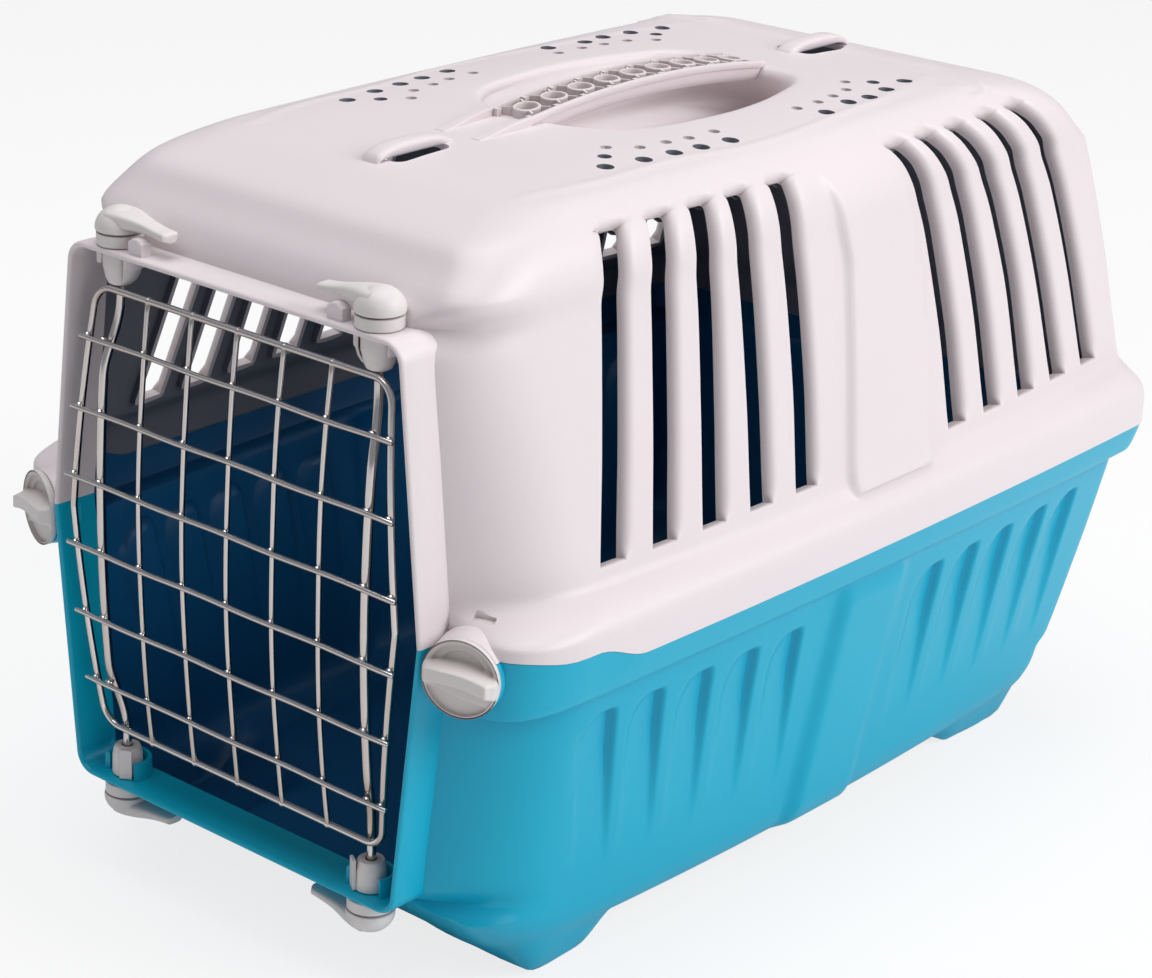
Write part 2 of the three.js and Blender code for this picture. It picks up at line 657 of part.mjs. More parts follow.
function makeLid() {
  const outer = lidSkin(0);
  const inner = lidSkin(lidWall);
  const thick = lidSkin(gap).subtract(lidSkin(slotFrameDepth));
  const scallop = uprightCylinder(leverRadius + runningGap + lidWall, rodX, latchY,
    [collarTop - lidWall, collarTop + leverHeight]).intersect(outer);
  let lid = outer.subtract(inner);
  for (const group of [[0, 4], [5, 9]]) lid = lid.add(both(slotFrame(...group, thick)));
  lid = lid.add(handleWell(lidWall)).add(both(scallop));
  lid = lid.add(both(knobBoss().intersect(outer.add(knobReachBlock()))));
  lid = lid.subtract(both(camRoom())).add(both(lidHook()));
  for (const y of [strapFrontY, strapRearY]) lid = lid.add(strapBridge(y)).subtract(strapTunnel(y));
  const stop = box(
    [stopBlock.x - stopBlock.width / 2, stopBlock.x + stopBlock.width / 2],
    [stopBlock.y - stopBlock.depth / 2, stopBlock.y + stopBlock.depth / 2],
    [collarTop - lidWall, collarTop + stopBlock.height],
  );
  lid = lid.add(both(stop));
  let cuts = doorOpening().add(handleWell(0));
  for (let k = 0; k < slotBottomYs.length; k += 1) {
    cuts = cuts.add(both(slabAcross(slotOutline(k), [slotInnerX, rimHalfWidth])));
  }
  for (const [x, y, size] of ventPlaces) {
    cuts = cuts.add(both(uprightCylinder(size / 2, x, y, [bodyHeight - ventDepth, bodyHeight + cutOverrun], 6)));
  }
  cuts = cuts.add(both(uprightCylinder(leverRadius + runningGap, rodX, latchY,
    [collarTop, collarTop + 2 * leverHeight])));
  cuts = cuts.add(both(uprightCylinder(shaftRadius + runningGap, rodX, latchY,
    [collarTop - 2 * cutOverrun, collarTop + cutOverrun])));
  cuts = cuts.add(both(uprightCylinder(cupRadius + runningGap, rodX, latchY,
    [collarTop - 3 * cupReach, collarTop - lidWall], 16)));
  cuts = cuts.add(both(knobPocket()));
  cuts = cuts.add(both(uprightCylinder(pegHoleRadius, pegX, pegY, [pegTopZ - cutOverrun, pegTopZ + 3 * cutOverrun], 8)));
  return aboveSplit(lid.subtract(cuts));
}

// The knob bosses stay between the band line of the base and the top of the belt
function knobReachBlock() {
  const z = [splitHeight + splitRise, knobZ + bossRadius];
  return box([collarHalfWaist - lipWidth, rimHalfWidth], [2 * collarY, stepStartY], z);
}

// Base

function flute(k) {
  const rings = fluteRingShares.map(([down, width, depth]) => {
    const z = fluteTopZ + (fluteBottomZ - fluteTopZ) * down;
    const y = fluteTopYs[k] + (fluteBottomYs[k] - fluteTopYs[k]) * down;
    const wall = sideAt({ half: sideHalfAt(baseRowShares, z), bow: wallBow, pillar: 0 }, y);
    const inside = wall - fluteDepth * depth;
    const reach = (fluteWidth * width) / 2;
    return [[inside, -reach], [wall + cutOverrun, -reach], [wall + cutOverrun, reach], [inside, reach]]
      .map(([x, side]) => new THREE.Vector3(x, y + side, z));
  });
  return loft(rings.reverse());
}

function foot({ x, y, topX, topY }, inset) {
  const drawn = ([low, high]) => [low + inset, high - inset];
  const topZ = inset > 0 ? footTopZ + cutOverrun : footTopZ;
  return loft([
    roundedRectangle(drawn(x), drawn(y), footCorner - inset, inset),
    roundedRectangle(drawn(topX), drawn(topY), footCorner - inset, topZ),
  ]);
}

function cupHousing() {
  const z = [collarBottom + baseWall / 2, collarBottom + baseWall + cupHousingHeight];
  const front = box([rodX - 2 * cupHousingRadius, rodX + 2 * cupHousingRadius], [2 * latchY, latchY], z);
  return uprightCylinder(cupHousingRadius, rodX, latchY, z).subtract(front);
}

function makeBase() {
  const outer = baseSkin(0);
  const inner = baseSkin(baseWall);
  let solid = outer;
  let hollow = inner;
  for (const place of [footFront, footRear]) {
    solid = solid.add(both(foot(place, 0)));
    hollow = hollow.add(both(foot(place, baseWall)));
  }
  let base = solid.subtract(hollow);
  const bandBlock = box(
    [collarHalfWaist - lipWidth, rimHalfWidth],
    [2 * collarY, stepStartY],
    [splitHeight + splitRise - bandHeight, splitHeight + splitRise],
  );
  base = base.add(both(knobBoss().intersect(bandBlock)));
  base = base.add(both(cupHousing()));
  const scallop = uprightCylinder(leverRadius + runningGap + baseWall, rodX, latchY,
    [collarBottom - leverHeight, collarBottom + baseWall]).intersect(outer);
  base = base.add(both(scallop));
  const peg = uprightCylinder(pegRadius, pegX, pegY, [splitHeight - pegBlock, pegTopZ], 8);
  const pegArm = box([pegX - pegRadius, pegX + pegBlock], [pegY - pegRadius, pegY + pegRadius],
    [splitHeight - pegBlock, splitHeight - gap]);
  let cuts = doorOpening();
  for (let k = 0; k < fluteTopYs.length; k += 1) cuts = cuts.add(both(flute(k)));
  cuts = cuts.add(both(knobPocket()));
  cuts = cuts.add(both(knobPlace(knobCylinder(stemRadius + runningGap, [0, camBack], 12)))).add(both(camRoom()));
  cuts = cuts.add(both(uprightCylinder(leverRadius + runningGap, rodX, latchY,
    [collarBottom - 2 * leverHeight, collarBottom])));
  cuts = cuts.add(both(uprightCylinder(shaftRadius + runningGap, rodX, latchY,
    [collarBottom - cutOverrun, collarBottom + cutOverrun])));
  cuts = cuts.add(both(uprightCylinder(cupRadius + runningGap, rodX, latchY,
    [collarBottom + baseWall, collarBottom + 3 * cupReach], 16)));
  return belowSplit(base.subtract(cuts)).add(both(peg.add(pegArm)));
}

// Handle

function handleTopAt(y) {
  const middle = (handleFootY + handleRearY) / 2;
  return handleTopZ - handleEndDrop * ((y - middle) / (handleRearY - middle)) ** 2;
}

function makeHandle() {
  const footZ = bodyHeight + gap;
  const top = [[handleFrontY, footZ + handleTip]];
  for (let i = 0; i <= handleSteps; i += 1) {
    const y = handleFootY + ((handleRearY - handleFootY) * i) / handleSteps;
    top.push([y, handleTopAt(y)]);
  }
  top.push([handleEndY, footZ + handleTip], [handleEndY, footZ]);
  const under = [[wellRearY - handleShoulder / 4, footZ]];
  const underStart = wellRearY - handleShoulder;
  const underEnd = wellFrontY + handleShoulder;
  for (let i = 0; i <= handleSteps / 2; i += 1) {
    const y = underStart + ((underEnd - underStart) * i) / (handleSteps / 2);
    under.push([y, handleTopAt(y) - handleThickness]);
  }
  under.push([wellFrontY + handleShoulder / 4, footZ], [handleFrontY, footZ]);
  let handle = slabAcross([...under, ...top].reverse(), [-handleHalfWidth, handleHalfWidth]);
  for (let i = 0; i < grip.count; i += 1) {
    const y = grip.firstY + grip.pitch * i;
    const z = handleTopAt(y);
    handle = handle.subtract(uprightCylinder(grip.pocketRadius, 0, y, [z - grip.depth, z + cutOverrun], 10));
  }
  return handle;
}

// Door

function doorLayerY(z) {
  return doorY - doorBulge * (1 - ((z - doorMidZ) / doorHalfHeight) ** 2);
}

const crosswireForward = frameRadius + crosswireRadius + gap;

function wireAlong(points, radius, steps, sides) {
  const section = new THREE.Shape();
  section.absarc(0, 0, radius, 0, 2 * Math.PI);
  const path = new THREE.CatmullRomCurve3(points, false, 'centripetal');
  return solidOf(new THREE.ExtrudeGeometry(section, { steps, curveSegments: sides / 4, extrudePath: path }));
}

function crosswire(k) {
  const y = doorLayerY(crosswireZs[k]) - crosswireForward;
  const wire = new THREE.CylinderGeometry(crosswireRadius, crosswireRadius, 2 * crosswireHalfLengths[k], 8);
  return solidOf(placed(wire, [0, y, crosswireZs[k]], [0, 0, Math.PI / 2]));
}

function upright(x) {
  const reach = doorHalfHeight - frameRadius - gap;
  const points = uprightShares.map((share) => {
    const z = doorMidZ + reach * share;
    return new THREE.Vector3(x, doorLayerY(z) - crosswireForward + crosswireRadius + uprightRadius + gap, z);
  });
  return wireAlong(points, uprightRadius, 8, 8);
}

function doorFrame() {
  const topZ = doorMidZ + doorHalfHeight;
  const bottomZ = doorMidZ - doorHalfHeight;
  const right = [
    [frameBottomHalf - frameCorner, bottomZ],
    [frameBottomHalf - frameCorner * bendShare, bottomZ + frameCorner * bendShare],
    [frameBottomHalf + frameCorner * bendShare / 2, bottomZ + frameCorner],
    [frameWaistHalf - frameCorner * bendShare / 2, doorMidZ - 2 * frameCorner],
    [frameWaistHalf, doorMidZ],
    [frameWaistHalf - frameCorner * bendShare / 2, doorMidZ + 2 * frameCorner],
    [frameTopHalf + frameCorner * bendShare / 2, topZ - frameCorner],
    [frameTopHalf - frameCorner * bendShare, topZ - frameCorner * bendShare],
    [frameTopHalf - frameCorner, topZ],
  ];
  const left = right.map(([x, z]) => [-x, z]).reverse();
  const points = [...right, [0, topZ], ...left, [0, bottomZ]].map(([x, z]) => new THREE.Vector3(x, doorLayerY(z), z));
  const path = new THREE.CatmullRomCurve3(points, true, 'centripetal');
  return solidOf(new THREE.TubeGeometry(path, frameSteps, frameRadius, 6, true));
}

function doorRod() {
  const points = rodShares.map((share) => {
    const z = rodBottomZ + (rodTopZ - rodBottomZ) * share;
    const fromEnd = Math.min(rodTopZ - z, z - rodBottomZ);
    const bend = smoothStep((fromEnd - rodStraight) / rodRamp);
    const inLayer = doorLayerY(z) - crosswireForward + crosswireRadius + rodRadius + gap;
    return new THREE.Vector3(rodX + rodSwell * bend, latchY + (inLayer - latchY) * bend, z);
  });
  return wireAlong(points, rodRadius, 22, 8);
}

// Latches, made about their own upright axis, with the collar's face at height zero

function leverSolid() {
  const profile = leverProfileShares.map(([r, z]) => new THREE.Vector2(r * leverRadius, gap + z * leverHeight));
  const dome = solidOf(new THREE.LatheGeometry(profile, 20).applyMatrix4(
    new THREE.Matrix4().makeRotationX(Math.PI / 2),
  ));
  const arm = new THREE.Shape([
    new THREE.Vector2(0, -leverArmWidth / 2),
    new THREE.Vector2(leverReach - leverTipWidth / 2, -leverTipWidth / 2),
    new THREE.Vector2(leverReach, -leverTipWidth / 4),
    new THREE.Vector2(leverReach, leverTipWidth / 4),
    new THREE.Vector2(leverReach - leverTipWidth / 2, leverTipWidth / 2),
    new THREE.Vector2(0, leverArmWidth / 2),
  ]);
  const bar = new THREE.ExtrudeGeometry(arm, { depth: leverArmHeight, bevelEnabled: false });
  bar.translate(0, 0, stopBlock.height + gap);
  const socket = uprightCylinder(shaftRadius + gap, 0, 0, [0, shaftTop + gap]);
  return dome.add(solidOf(bar)).subtract(socket);
}

function cupSolid() {
  const body = uprightCylinder(cupRadius, 0, 0, [-collarThickness - gap - cupReach, -collarThickness - gap], 16);
  const shaft = uprightCylinder(shaftRadius, 0, 0, [-collarThickness - 2 * gap, shaftTop]);
  const boreZ = [-collarThickness - cupReach - cutOverrun, -collarThickness - cupBlindWall];
  const bore = uprightCylinder(cupBoreRadius, 0, 0, boreZ);
  const mouth = box([-cupMouth / 2, cupMouth / 2], [-2 * cupRadius, 0], boreZ);
  return body.add(shaft).subtract(bore).subtract(mouth);
}

// Side lock, made about the knob's own axis and then turned to its place

function knobSolid() {
  const profile = knobProfileShares.map(([r, depth]) => new THREE.Vector2(r * knobRadius, -depth * knobThickness));
  const disc = solidOf(new THREE.LatheGeometry(profile, 28).applyMatrix4(
    new THREE.Matrix4().makeRotationX(Math.PI / 2),
  ));
  const outline = new THREE.Shape(knobRidgeShares.map(([x, z]) => (
    new THREE.Vector2(x * knobRadius, z * knobRidgeHeight - knobThickness / 2)
  )));
  const ridge = new THREE.ExtrudeGeometry(outline, { depth: knobRidgeWidth, bevelEnabled: false });
  const turned = placed(ridge, [0, knobRidgeRise + knobRidgeWidth / 2, 0], [Math.PI / 2, 0, 0]);
  const stem = knobCylinder(stemRadius, [knobThickness / 2, camFront - gap], 12);
  return disc.add(solidOf(turned)).add(stem);
}

function camSolid() {
  const hub = knobCylinder(camRadius, [camFront, camBack], 16);
  const tab = box([-camWidth / 2, camWidth / 2], [0, camReach], [-camBack, -camFront]);
  return hub.add(tab);
}

// Scene graph: each piece is a named mesh, moving pieces stand at their own axis

const carrier = new THREE.Group();
carrier.name = 'pet_transport_carrier';

function addPiece(name, solid, material, position = [0, 0, 0], parent = carrier) {
  const mesh = new THREE.Mesh(geometryOf(solid), materials[material]);
  mesh.name = name;
  mesh.position.set(...position);
  parent.add(mesh);
  return mesh;
}

addPiece('base_shell', makeBase(), 'blue');
addPiece('lid_shell', makeLid(), 'pale');
addPiece('carry_handle', makeHandle(), 'pale');

const door = new THREE.Group();
carrier.add(door);
addPiece('door_frame', doorFrame(), 'wire', [0, 0, 0], door);
for (let k = 0; k < crosswireZs.length; k += 1) {
  addPiece(`door_crosswire_${k + 1}`, crosswire(k), 'wire', [0, 0, 0], door);
}
for (let k = 0; k < uprightCount; k += 1) {
  const x = uprightSpacing * (k - (uprightCount - 1) / 2);
  addPiece(`door_upright_${k + 1}`, upright(x), 'wire', [0, 0, 0], door);
}
addPiece('door_rod_right', doorRod(), 'wire', [0, 0, 0], door);
addPiece('door_rod_left', mirrored(doorRod()), 'wire', [0, 0, 0], door);

const upsideDown = (solid) => solid.mirror([0, 0, 1]);
const latchPlaces = [
  { name: 'top_right', x: rodX, z: collarTop, flip: false },
  { name: 'top_left', x: -rodX, z: collarTop, flip: false },
  { name: 'bottom_right', x: rodX, z: collarBottom, flip: true },
  { name: 'bottom_left', x: -rodX, z: collarBottom, flip: true },
];
for (const { name, x, z, flip } of latchPlaces) {
  const inward = x > 0 ? mirrored(leverSolid()) : leverSolid();
  const cup = cupSolid();
  addPiece(`latch_lever_${name}`, flip ? upsideDown(inward) : inward, 'grey', [x, latchY, z]);
  addPiece(`latch_cup_${name}`, flip ? upsideDown(cup) : cup, 'grey', [x, latchY, z]);
}

for (const [name, turn] of [['right', (s) => s], ['left', mirrored]]) {
  addPiece(`side_knob_${name}`, turn(knobPlace(knobSolid())), 'grey');
  addPiece(`knob_cam_${name}`, turn(knobPlace(camSolid())), 'grey');
}

export default carrier;
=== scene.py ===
import math

import bmesh
import bpy
import numpy as np
from mathutils import Matrix, Vector


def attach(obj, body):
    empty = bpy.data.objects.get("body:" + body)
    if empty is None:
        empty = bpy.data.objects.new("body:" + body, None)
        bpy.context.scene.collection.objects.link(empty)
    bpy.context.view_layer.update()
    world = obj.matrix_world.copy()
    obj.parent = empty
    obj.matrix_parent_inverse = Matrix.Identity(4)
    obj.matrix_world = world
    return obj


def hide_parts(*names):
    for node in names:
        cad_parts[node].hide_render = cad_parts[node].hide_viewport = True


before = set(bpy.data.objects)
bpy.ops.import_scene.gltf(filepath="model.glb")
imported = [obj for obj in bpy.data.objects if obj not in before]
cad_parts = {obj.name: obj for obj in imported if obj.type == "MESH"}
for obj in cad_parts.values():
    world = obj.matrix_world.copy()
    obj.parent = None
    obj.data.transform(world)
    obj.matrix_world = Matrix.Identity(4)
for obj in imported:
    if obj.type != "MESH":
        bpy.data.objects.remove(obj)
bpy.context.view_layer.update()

# Sizes are in millimetres here and become metres where a mesh is made
MM = 0.001

# Overall and split
BODY_HEIGHT = 328.7
SPLIT_Z = 156.4
SPLIT_RISE = 11.3
STEP_START_Y = -184.0
STEP_END_Y = -154.0
SPLIT_GAP = 0.35
LID_WALL = 2.4
BASE_WALL = 2.6

# Door collar
COLLAR_Y = -237.2
NECK_Y = -220.2
COLLAR_BACK_Y = -216.5
COLLAR_BOTTOM = 45.3
COLLAR_TOP = 289.6
COLLAR_WAIST = 168.0
COLLAR_BEND_Y = -228.0
COLLAR_LIP = 1.6
COLLAR_HALVES = (95.5, 108.1, 94.9)
COLLAR_CORNER = 10.0
COLLAR_WALL = 2.6
NECK_SINK = 1.3

# Slots of the lid, right-hand side: the front edge of each at several levels, and the crown at their tops
SLOT_BOTTOM_Z = 191.4
SLOT_TOP_Z = 317.0
SLOT_WIDTH = 14.0
SLOT_LEVELS = (191.4, 235.0, 275.0, 296.0, 309.0, 317.0)
SLOT_YS = (
    (-165.8, -135.6, -105.4, -75.2, -45.0, 68.6, 98.4, 128.6, 158.5, 188.6),
    (-155.8, -126.3, -97.3, -68.5, -37.9, 70.8, 99.5, 129.2, 156.2, 186.0),
    (-147.3, -118.4, -90.2, -63.5, -33.8, 69.4, 97.2, 124.6, 150.9, 180.2),
    (-143.2, -114.6, -87.4, -61.8, -32.8, 65.5, 92.2, 117.9, 144.2, 172.2),
    (-140.5, -112.0, -85.6, -60.8, -32.4, 60.2, 84.8, 109.2, 135.9, 162.6),
    (-136.6, -108.6, -82.8, -59.0, -31.4, 54.2, 77.6, 101.6, 128.2, 153.2),
)
SLOT_CROWN = 2.6
SLOT_CROWN_Z = 2.2

# Depth of the slots' walls in the front and the rear group, and the rolled edges round them
JAMB_DEPTHS = (5.5, 6.8)
ROLL_FRONT = 0.9
ROLL_REAR = 4.6
ROLL_TOP = 5.6
ROLL_TOP_FRONT = 2.4
ROLL_TOP_REACH = 9.0
ROLL_START = 4.0
ROLL_LEAST = 0.5

# Columns across a slot, and the columns and rows round it that its rolled edges can reach
SLOT_COLS = 4
COLS_BEFORE, COLS_AFTER = 8, 12
ROWS_BELOW, ROWS_ABOVE = 6, 16

# Pillars in the middle of the sides: levels, front places, rear places, height and width of the step
PILLAR_LID = ((191.4, 235.0, 277.0, 302.0, 317.0), (-9.0, 0.0, 8.0, 6.0, 1.0),
              (49.0, 58.0, 61.5, 57.0, 48.0), 3.8, 6.0)
PILLAR_BASE = ((30.0, 80.0, 134.0), (-17.0, -14.5, -12.5), (29.0, 31.0, 34.0), 4.0, 10.0)

# How the split between lid and base climbs towards the door
RISE_SHARE = 0.73
RISE_START_Y = -196.0
RISE_REACH = 24.0

# Flutes of the base: their dark rear edge at the top and at the bottom
FLUTE_TOP_YS = (-154.2, -125.5, -95.4, -65.4, -35.6, 71.6, 102.1, 132.2, 164.4, 194.6)
FLUTE_BOTTOM_YS = (-142.2, -115.0, -88.0, -60.0, -30.0, 70.0, 99.0, 128.0, 156.0, 184.0)
FLUTE_TOP_Z = 129.0
FLUTE_BOTTOM_Z = 50.0
FLUTE_WIDTH = 23.0
FLUTE_ARCH = 15.0
FLUTE_DEPTH = 4.2
FLUTE_WALL = 4.2
FLUTE_FADE = 58.0
FLUTED_RUN = 372.0
SIDE_COUNT = 10
LAST_OF_FRONT_GROUP = 4

BOW_CENTRE_Y = 9.0
HALF_LENGTH = 241.0
SMALL = 1e-6

# Both sides of the carrier, with the sign of their X
SIDES = (("right", 1), ("left", -1))


# Curves and small numeric helpers

def smoothstep(value):
    t = np.clip(value, 0.0, 1.0)
    return t * t * (3.0 - 2.0 * t)


def monotone(knots, values, at):
    """Shape-keeping cubic through table rows, column by column."""
    knots = np.asarray(knots, float)
    values = np.asarray(values, float)
    steps = np.diff(knots)[:, None]
    slopes = np.diff(values, axis=0) / steps
    tangents = np.zeros_like(values)
    tangents[0], tangents[-1] = slopes[0], slopes[-1]
    both = slopes[:-1] * slopes[1:]
    safe = np.where(both > 0, slopes[:-1] + slopes[1:], 1.0)
    tangents[1:-1] = np.where(both > 0, 2.0 * both / safe, 0.0)
    at = np.asarray(at, float)
    i = np.clip(np.searchsorted(knots, at, side="right") - 1, 0, len(knots) - 2)
    h = (knots[i + 1] - knots[i])[:, None]
    t = ((at - knots[i])[:, None]) / h
    a, b = values[i], values[i + 1]
    ta, tb = tangents[i] * h, tangents[i + 1] * h
    return ((2 * t**3 - 3 * t**2 + 1) * a + (t**3 - 2 * t**2 + t) * ta
            + (-2 * t**3 + 3 * t**2) * b + (t**3 - t**2) * tb)


def split_share(y):
    full = 1.0 - smoothstep((y - STEP_START_Y) / (STEP_END_Y - STEP_START_Y))
    return full * (RISE_SHARE + (1 - RISE_SHARE) * smoothstep((RISE_START_Y - y) / RISE_REACH))


def collar_half(z, inset=0.0):
    bottom, waist, top = COLLAR_HALVES
    if z < COLLAR_WAIST:
        half = bottom + (waist - bottom) * (z - COLLAR_BOTTOM) / (COLLAR_WAIST - COLLAR_BOTTOM)
    else:
        half = waist + (top - waist) * (z - COLLAR_WAIST) / (COLLAR_TOP - COLLAR_WAIST)
    to_end = max(min(z - COLLAR_BOTTOM, COLLAR_TOP - z), 0.0)
    if to_end < COLLAR_CORNER:
        half += math.sqrt(COLLAR_CORNER**2 - (COLLAR_CORNER - to_end) ** 2) - COLLAR_CORNER
    return half - inset


def catmull(points, per=8, closed=False):
    pts = [np.asarray(p, float) for p in points]
    n = len(pts)
    out = []
    last = n if closed else n - 1
    for i in range(last):
        p0 = pts[(i - 1) % n] if closed or i > 0 else 2 * pts[0] - pts[1]
        p1, p2 = pts[i], pts[(i + 1) % n]
        p3 = pts[(i + 2) % n] if closed or i + 2 < n else 2 * pts[-1] - pts[-2]
        for k in range(per):
            t = k / per
            out.append(0.5 * (2 * p1 + (p2 - p0) * t + (2 * p0 - 5 * p1 + 4 * p2 - p3) * t**2
                              + (3 * p1 - p0 - 3 * p2 + p3) * t**3))
    if not closed:
        out.append(pts[-1])
    return np.array(out)


# Mesh helpers

def make_object(name, points, faces, sharp=38.0):
    mesh = bpy.data.meshes.new(name)
    mesh.from_pydata((np.asarray(points, float) * MM).tolist(), [], [tuple(map(int, f)) for f in faces])
    mesh.validate()
    mesh.update()
    obj = bpy.data.objects.new(name, mesh)
    bpy.context.scene.collection.objects.link(obj)
    shade(obj, sharp)
    return obj


def shade(obj, sharp=38.0):
    obj.data.shade_smooth()
    obj.data.set_sharp_from_angle(angle=math.radians(sharp))


def apply_all(obj, sharp=38.0):
    bpy.context.view_layer.update()
    graph = bpy.context.evaluated_depsgraph_get()
    mesh = bpy.data.meshes.new_from_object(obj.evaluated_get(graph))
    old = obj.data
    obj.modifiers.clear()
    obj.data = mesh
    bpy.data.meshes.remove(old)
    shade(obj, sharp)


def fix_normals(obj):
    bm = bmesh.new()
    bm.from_mesh(obj.data)
    bmesh.ops.remove_doubles(bm, verts=bm.verts, dist=SMALL)
    bmesh.ops.recalc_face_normals(bm, faces=bm.faces)
    bm.to_mesh(obj.data)
    bm.free()
    return obj


def loft(rings, close_ends=True, closed_ring=True):
    """Faces through equal rings of points; returns points and faces."""
    rings = [np.asarray(r, float) for r in rings]
    n = len(rings[0])
    points = np.concatenate(rings)
    faces = []
    span = n if closed_ring else n - 1
    for i in range(len(rings) - 1):
        for k in range(span):
            a, b = i * n + k, i * n + (k + 1) % n
            faces.append((a, b, b + n, a + n))
    if close_ends and closed_ring:
        faces.append(tuple(range(n))[::-1])
        faces.append(tuple(range((len(rings) - 1) * n, len(rings) * n)))
    return points, faces


def loft_object(name, rings, sharp=38.0):
    points, faces = loft(rings)
    return fix_then_shade(make_object(name, points, faces, sharp), sharp)


def fix_then_shade(obj, sharp):
    fix_normals(obj)
    shade(obj, sharp)
    return obj


def join(name, parts, sharp=38.0):
    """One object out of several (points, faces) lists."""
    points, faces, base = [], [], 0
    for p, f in parts:
        p = np.asarray(p, float)
        points.append(p)
        faces += [tuple(i + base for i in face) for face in f]
        base += len(p)
    return make_object(name, np.concatenate(points), faces, sharp)


def soft_join(name, parts, sharp=38.0):
    return fix_then_shade(join(name, parts, sharp), sharp)


def tube(path, radius, sides=14, closed=False):
    """Round bar along a path, its open ends domed."""
    path = np.asarray(path, float)
    n = len(path)
    if closed:
        tangent = np.roll(path, -1, 0) - np.roll(path, 1, 0)
    else:
        tangent = np.gradient(path, axis=0)
    tangent /= np.linalg.norm(tangent, axis=1)[:, None]
    up = np.array([0.0, 1.0, 0.0])
    rings = []
    for p, t in zip(path, tangent):
        side = np.cross(t, up)
        side /= np.linalg.norm(side)
        other = np.cross(side, t)
        angles = np.linspace(0, 2 * np.pi, sides, endpoint=False)
        rings.append(p + radius * (np.cos(angles)[:, None] * side + np.sin(angles)[:, None] * other))
    if closed:
        points = np.concatenate(rings)
        faces = []
        for i in range(n):
            for k in range(sides):
                a, b = i * sides + k, i * sides + (k + 1) % sides
                c, d = ((i + 1) % n) * sides + (k + 1) % sides, ((i + 1) % n) * sides + k
                faces.append((a, b, c, d))
        return points, faces
    first, last = rings[0], rings[-1]
    for lift, share in ((0.21, 0.93), (0.39, 0.7)):
        rings.insert(0, path[0] + (first - path[0]) * share - tangent[0] * radius * lift)
        rings.append(path[-1] + (last - path[-1]) * share + tangent[-1] * radius * lift)
    return loft(rings)


def ball(centre, radii, rings=6, sides=10):
    points, faces = [], []
    for i in range(rings + 1):
        a = math.pi * i / rings
        for k in range(sides):
            b = 2 * math.pi * k / sides
            points.append((centre[0] + radii[0] * math.sin(a) * math.cos(b),
                           centre[1] + radii[1] * math.sin(a) * math.sin(b),
                           centre[2] + radii[2] * math.cos(a)))
    for i in range(rings):
        for k in range(sides):
            faces.append((i * sides + k, (i + 1) * sides + k,
                          (i + 1) * sides + (k + 1) % sides, i * sides + (k + 1) % sides))
    return points, faces


def turned(profile, sides=48):
    """A profile of (radius, height) points turned about the Z axis."""
    rings = []
    for r, z in profile:
        a = np.linspace(0, 2 * np.pi, sides, endpoint=False)
        rings.append(np.stack([r * np.cos(a), r * np.sin(a), np.full(sides, z)], 1))
    return loft(rings)


# Shell grids: rows up the wall, columns round the plan, right-hand half only

# Places in a row of the shell tables
Z, HALF, FRONT, REAR, RISE, NECK = range(6)
LEAVE, ARRIVE = slice(6, 8), slice(8, 10)
START, RADIUS, BOW, PILLAR = range(10, 14)

BELT = dict(leave=(29, -8), arrive=(3.5, 34), start=-190.0, radius=22.0, bow=5.1)
BELT_UPPER = dict(BELT, leave=(25, -4.5), arrive=(3.2, 33), start=-187.0)
BELT_EDGE = dict(BELT, leave=(17, 1), arrive=(2.6, 31.5), start=-180.0)
BELT_TOP = dict(BELT, leave=(11.5, 5), arrive=(2.1, 30.2), start=-173.5)
WALL = dict(leave=(10, 6), arrive=(2, 30), start=-172.0, radius=17.0, bow=12.0)
ROUND_START, BELT_HALF = 52.0, 157.4
ROUND_NECK = ROUND_RADIUS = 26.0


def wall_row(z, half, rear, rise, style, pillar):
    neck = collar_half(z + rise * SPLIT_RISE, NECK_SINK)
    return [z, half, NECK_Y, rear, rise, neck, *style["leave"], *style["arrive"], style["start"],
            style["radius"], style["bow"], pillar]


def round_row(z, half, front, rear, pillar=0.0, bow=9.0):
    start = front + ROUND_START * half / BELT_HALF
    return [z, half, front, rear, 0.0, half - ROUND_NECK, 14, 0, 0.5, 22, start, ROUND_RADIUS, bow, pillar]


LID_ROWS = [
    wall_row(156.7, 157.2, 240.9, 1.0, BELT, 0),
    wall_row(168.0, 157.1, 240.9, 0.35, BELT, 0),
    wall_row(173.5, 156.0, 240.2, 0.16, BELT_UPPER, 0),
    wall_row(177.2, 153.4, 238.8, 0.06, BELT_EDGE, 0),
    wall_row(180.6, 149.6, 237.4, 0.0, BELT_TOP, 0.15),
    wall_row(185.0, 146.6, 236.6, 0.0, WALL, 1),
    wall_row(235.0, 134.0, 235.5, 0.0, WALL, 1),
    wall_row(280.0, 122.8, 231.0, 0.0, WALL, 1),
    wall_row(289.6, 120.4, 229.0, 0.0, WALL, 0.95),
    round_row(299.5, 118.2, -216.0, 222.0, 0.8),
    round_row(309.0, 114.8, -206.0, 213.0, 0.45),
    round_row(317.5, 108.4, -195.5, 200.0, 0.12),
    round_row(322.5, 101.9, -178.0, 184.0),
    round_row(326.0, 93.8, -160.0, 162.0),
    round_row(327.4, 84.0, -136.0, 140.0),
]
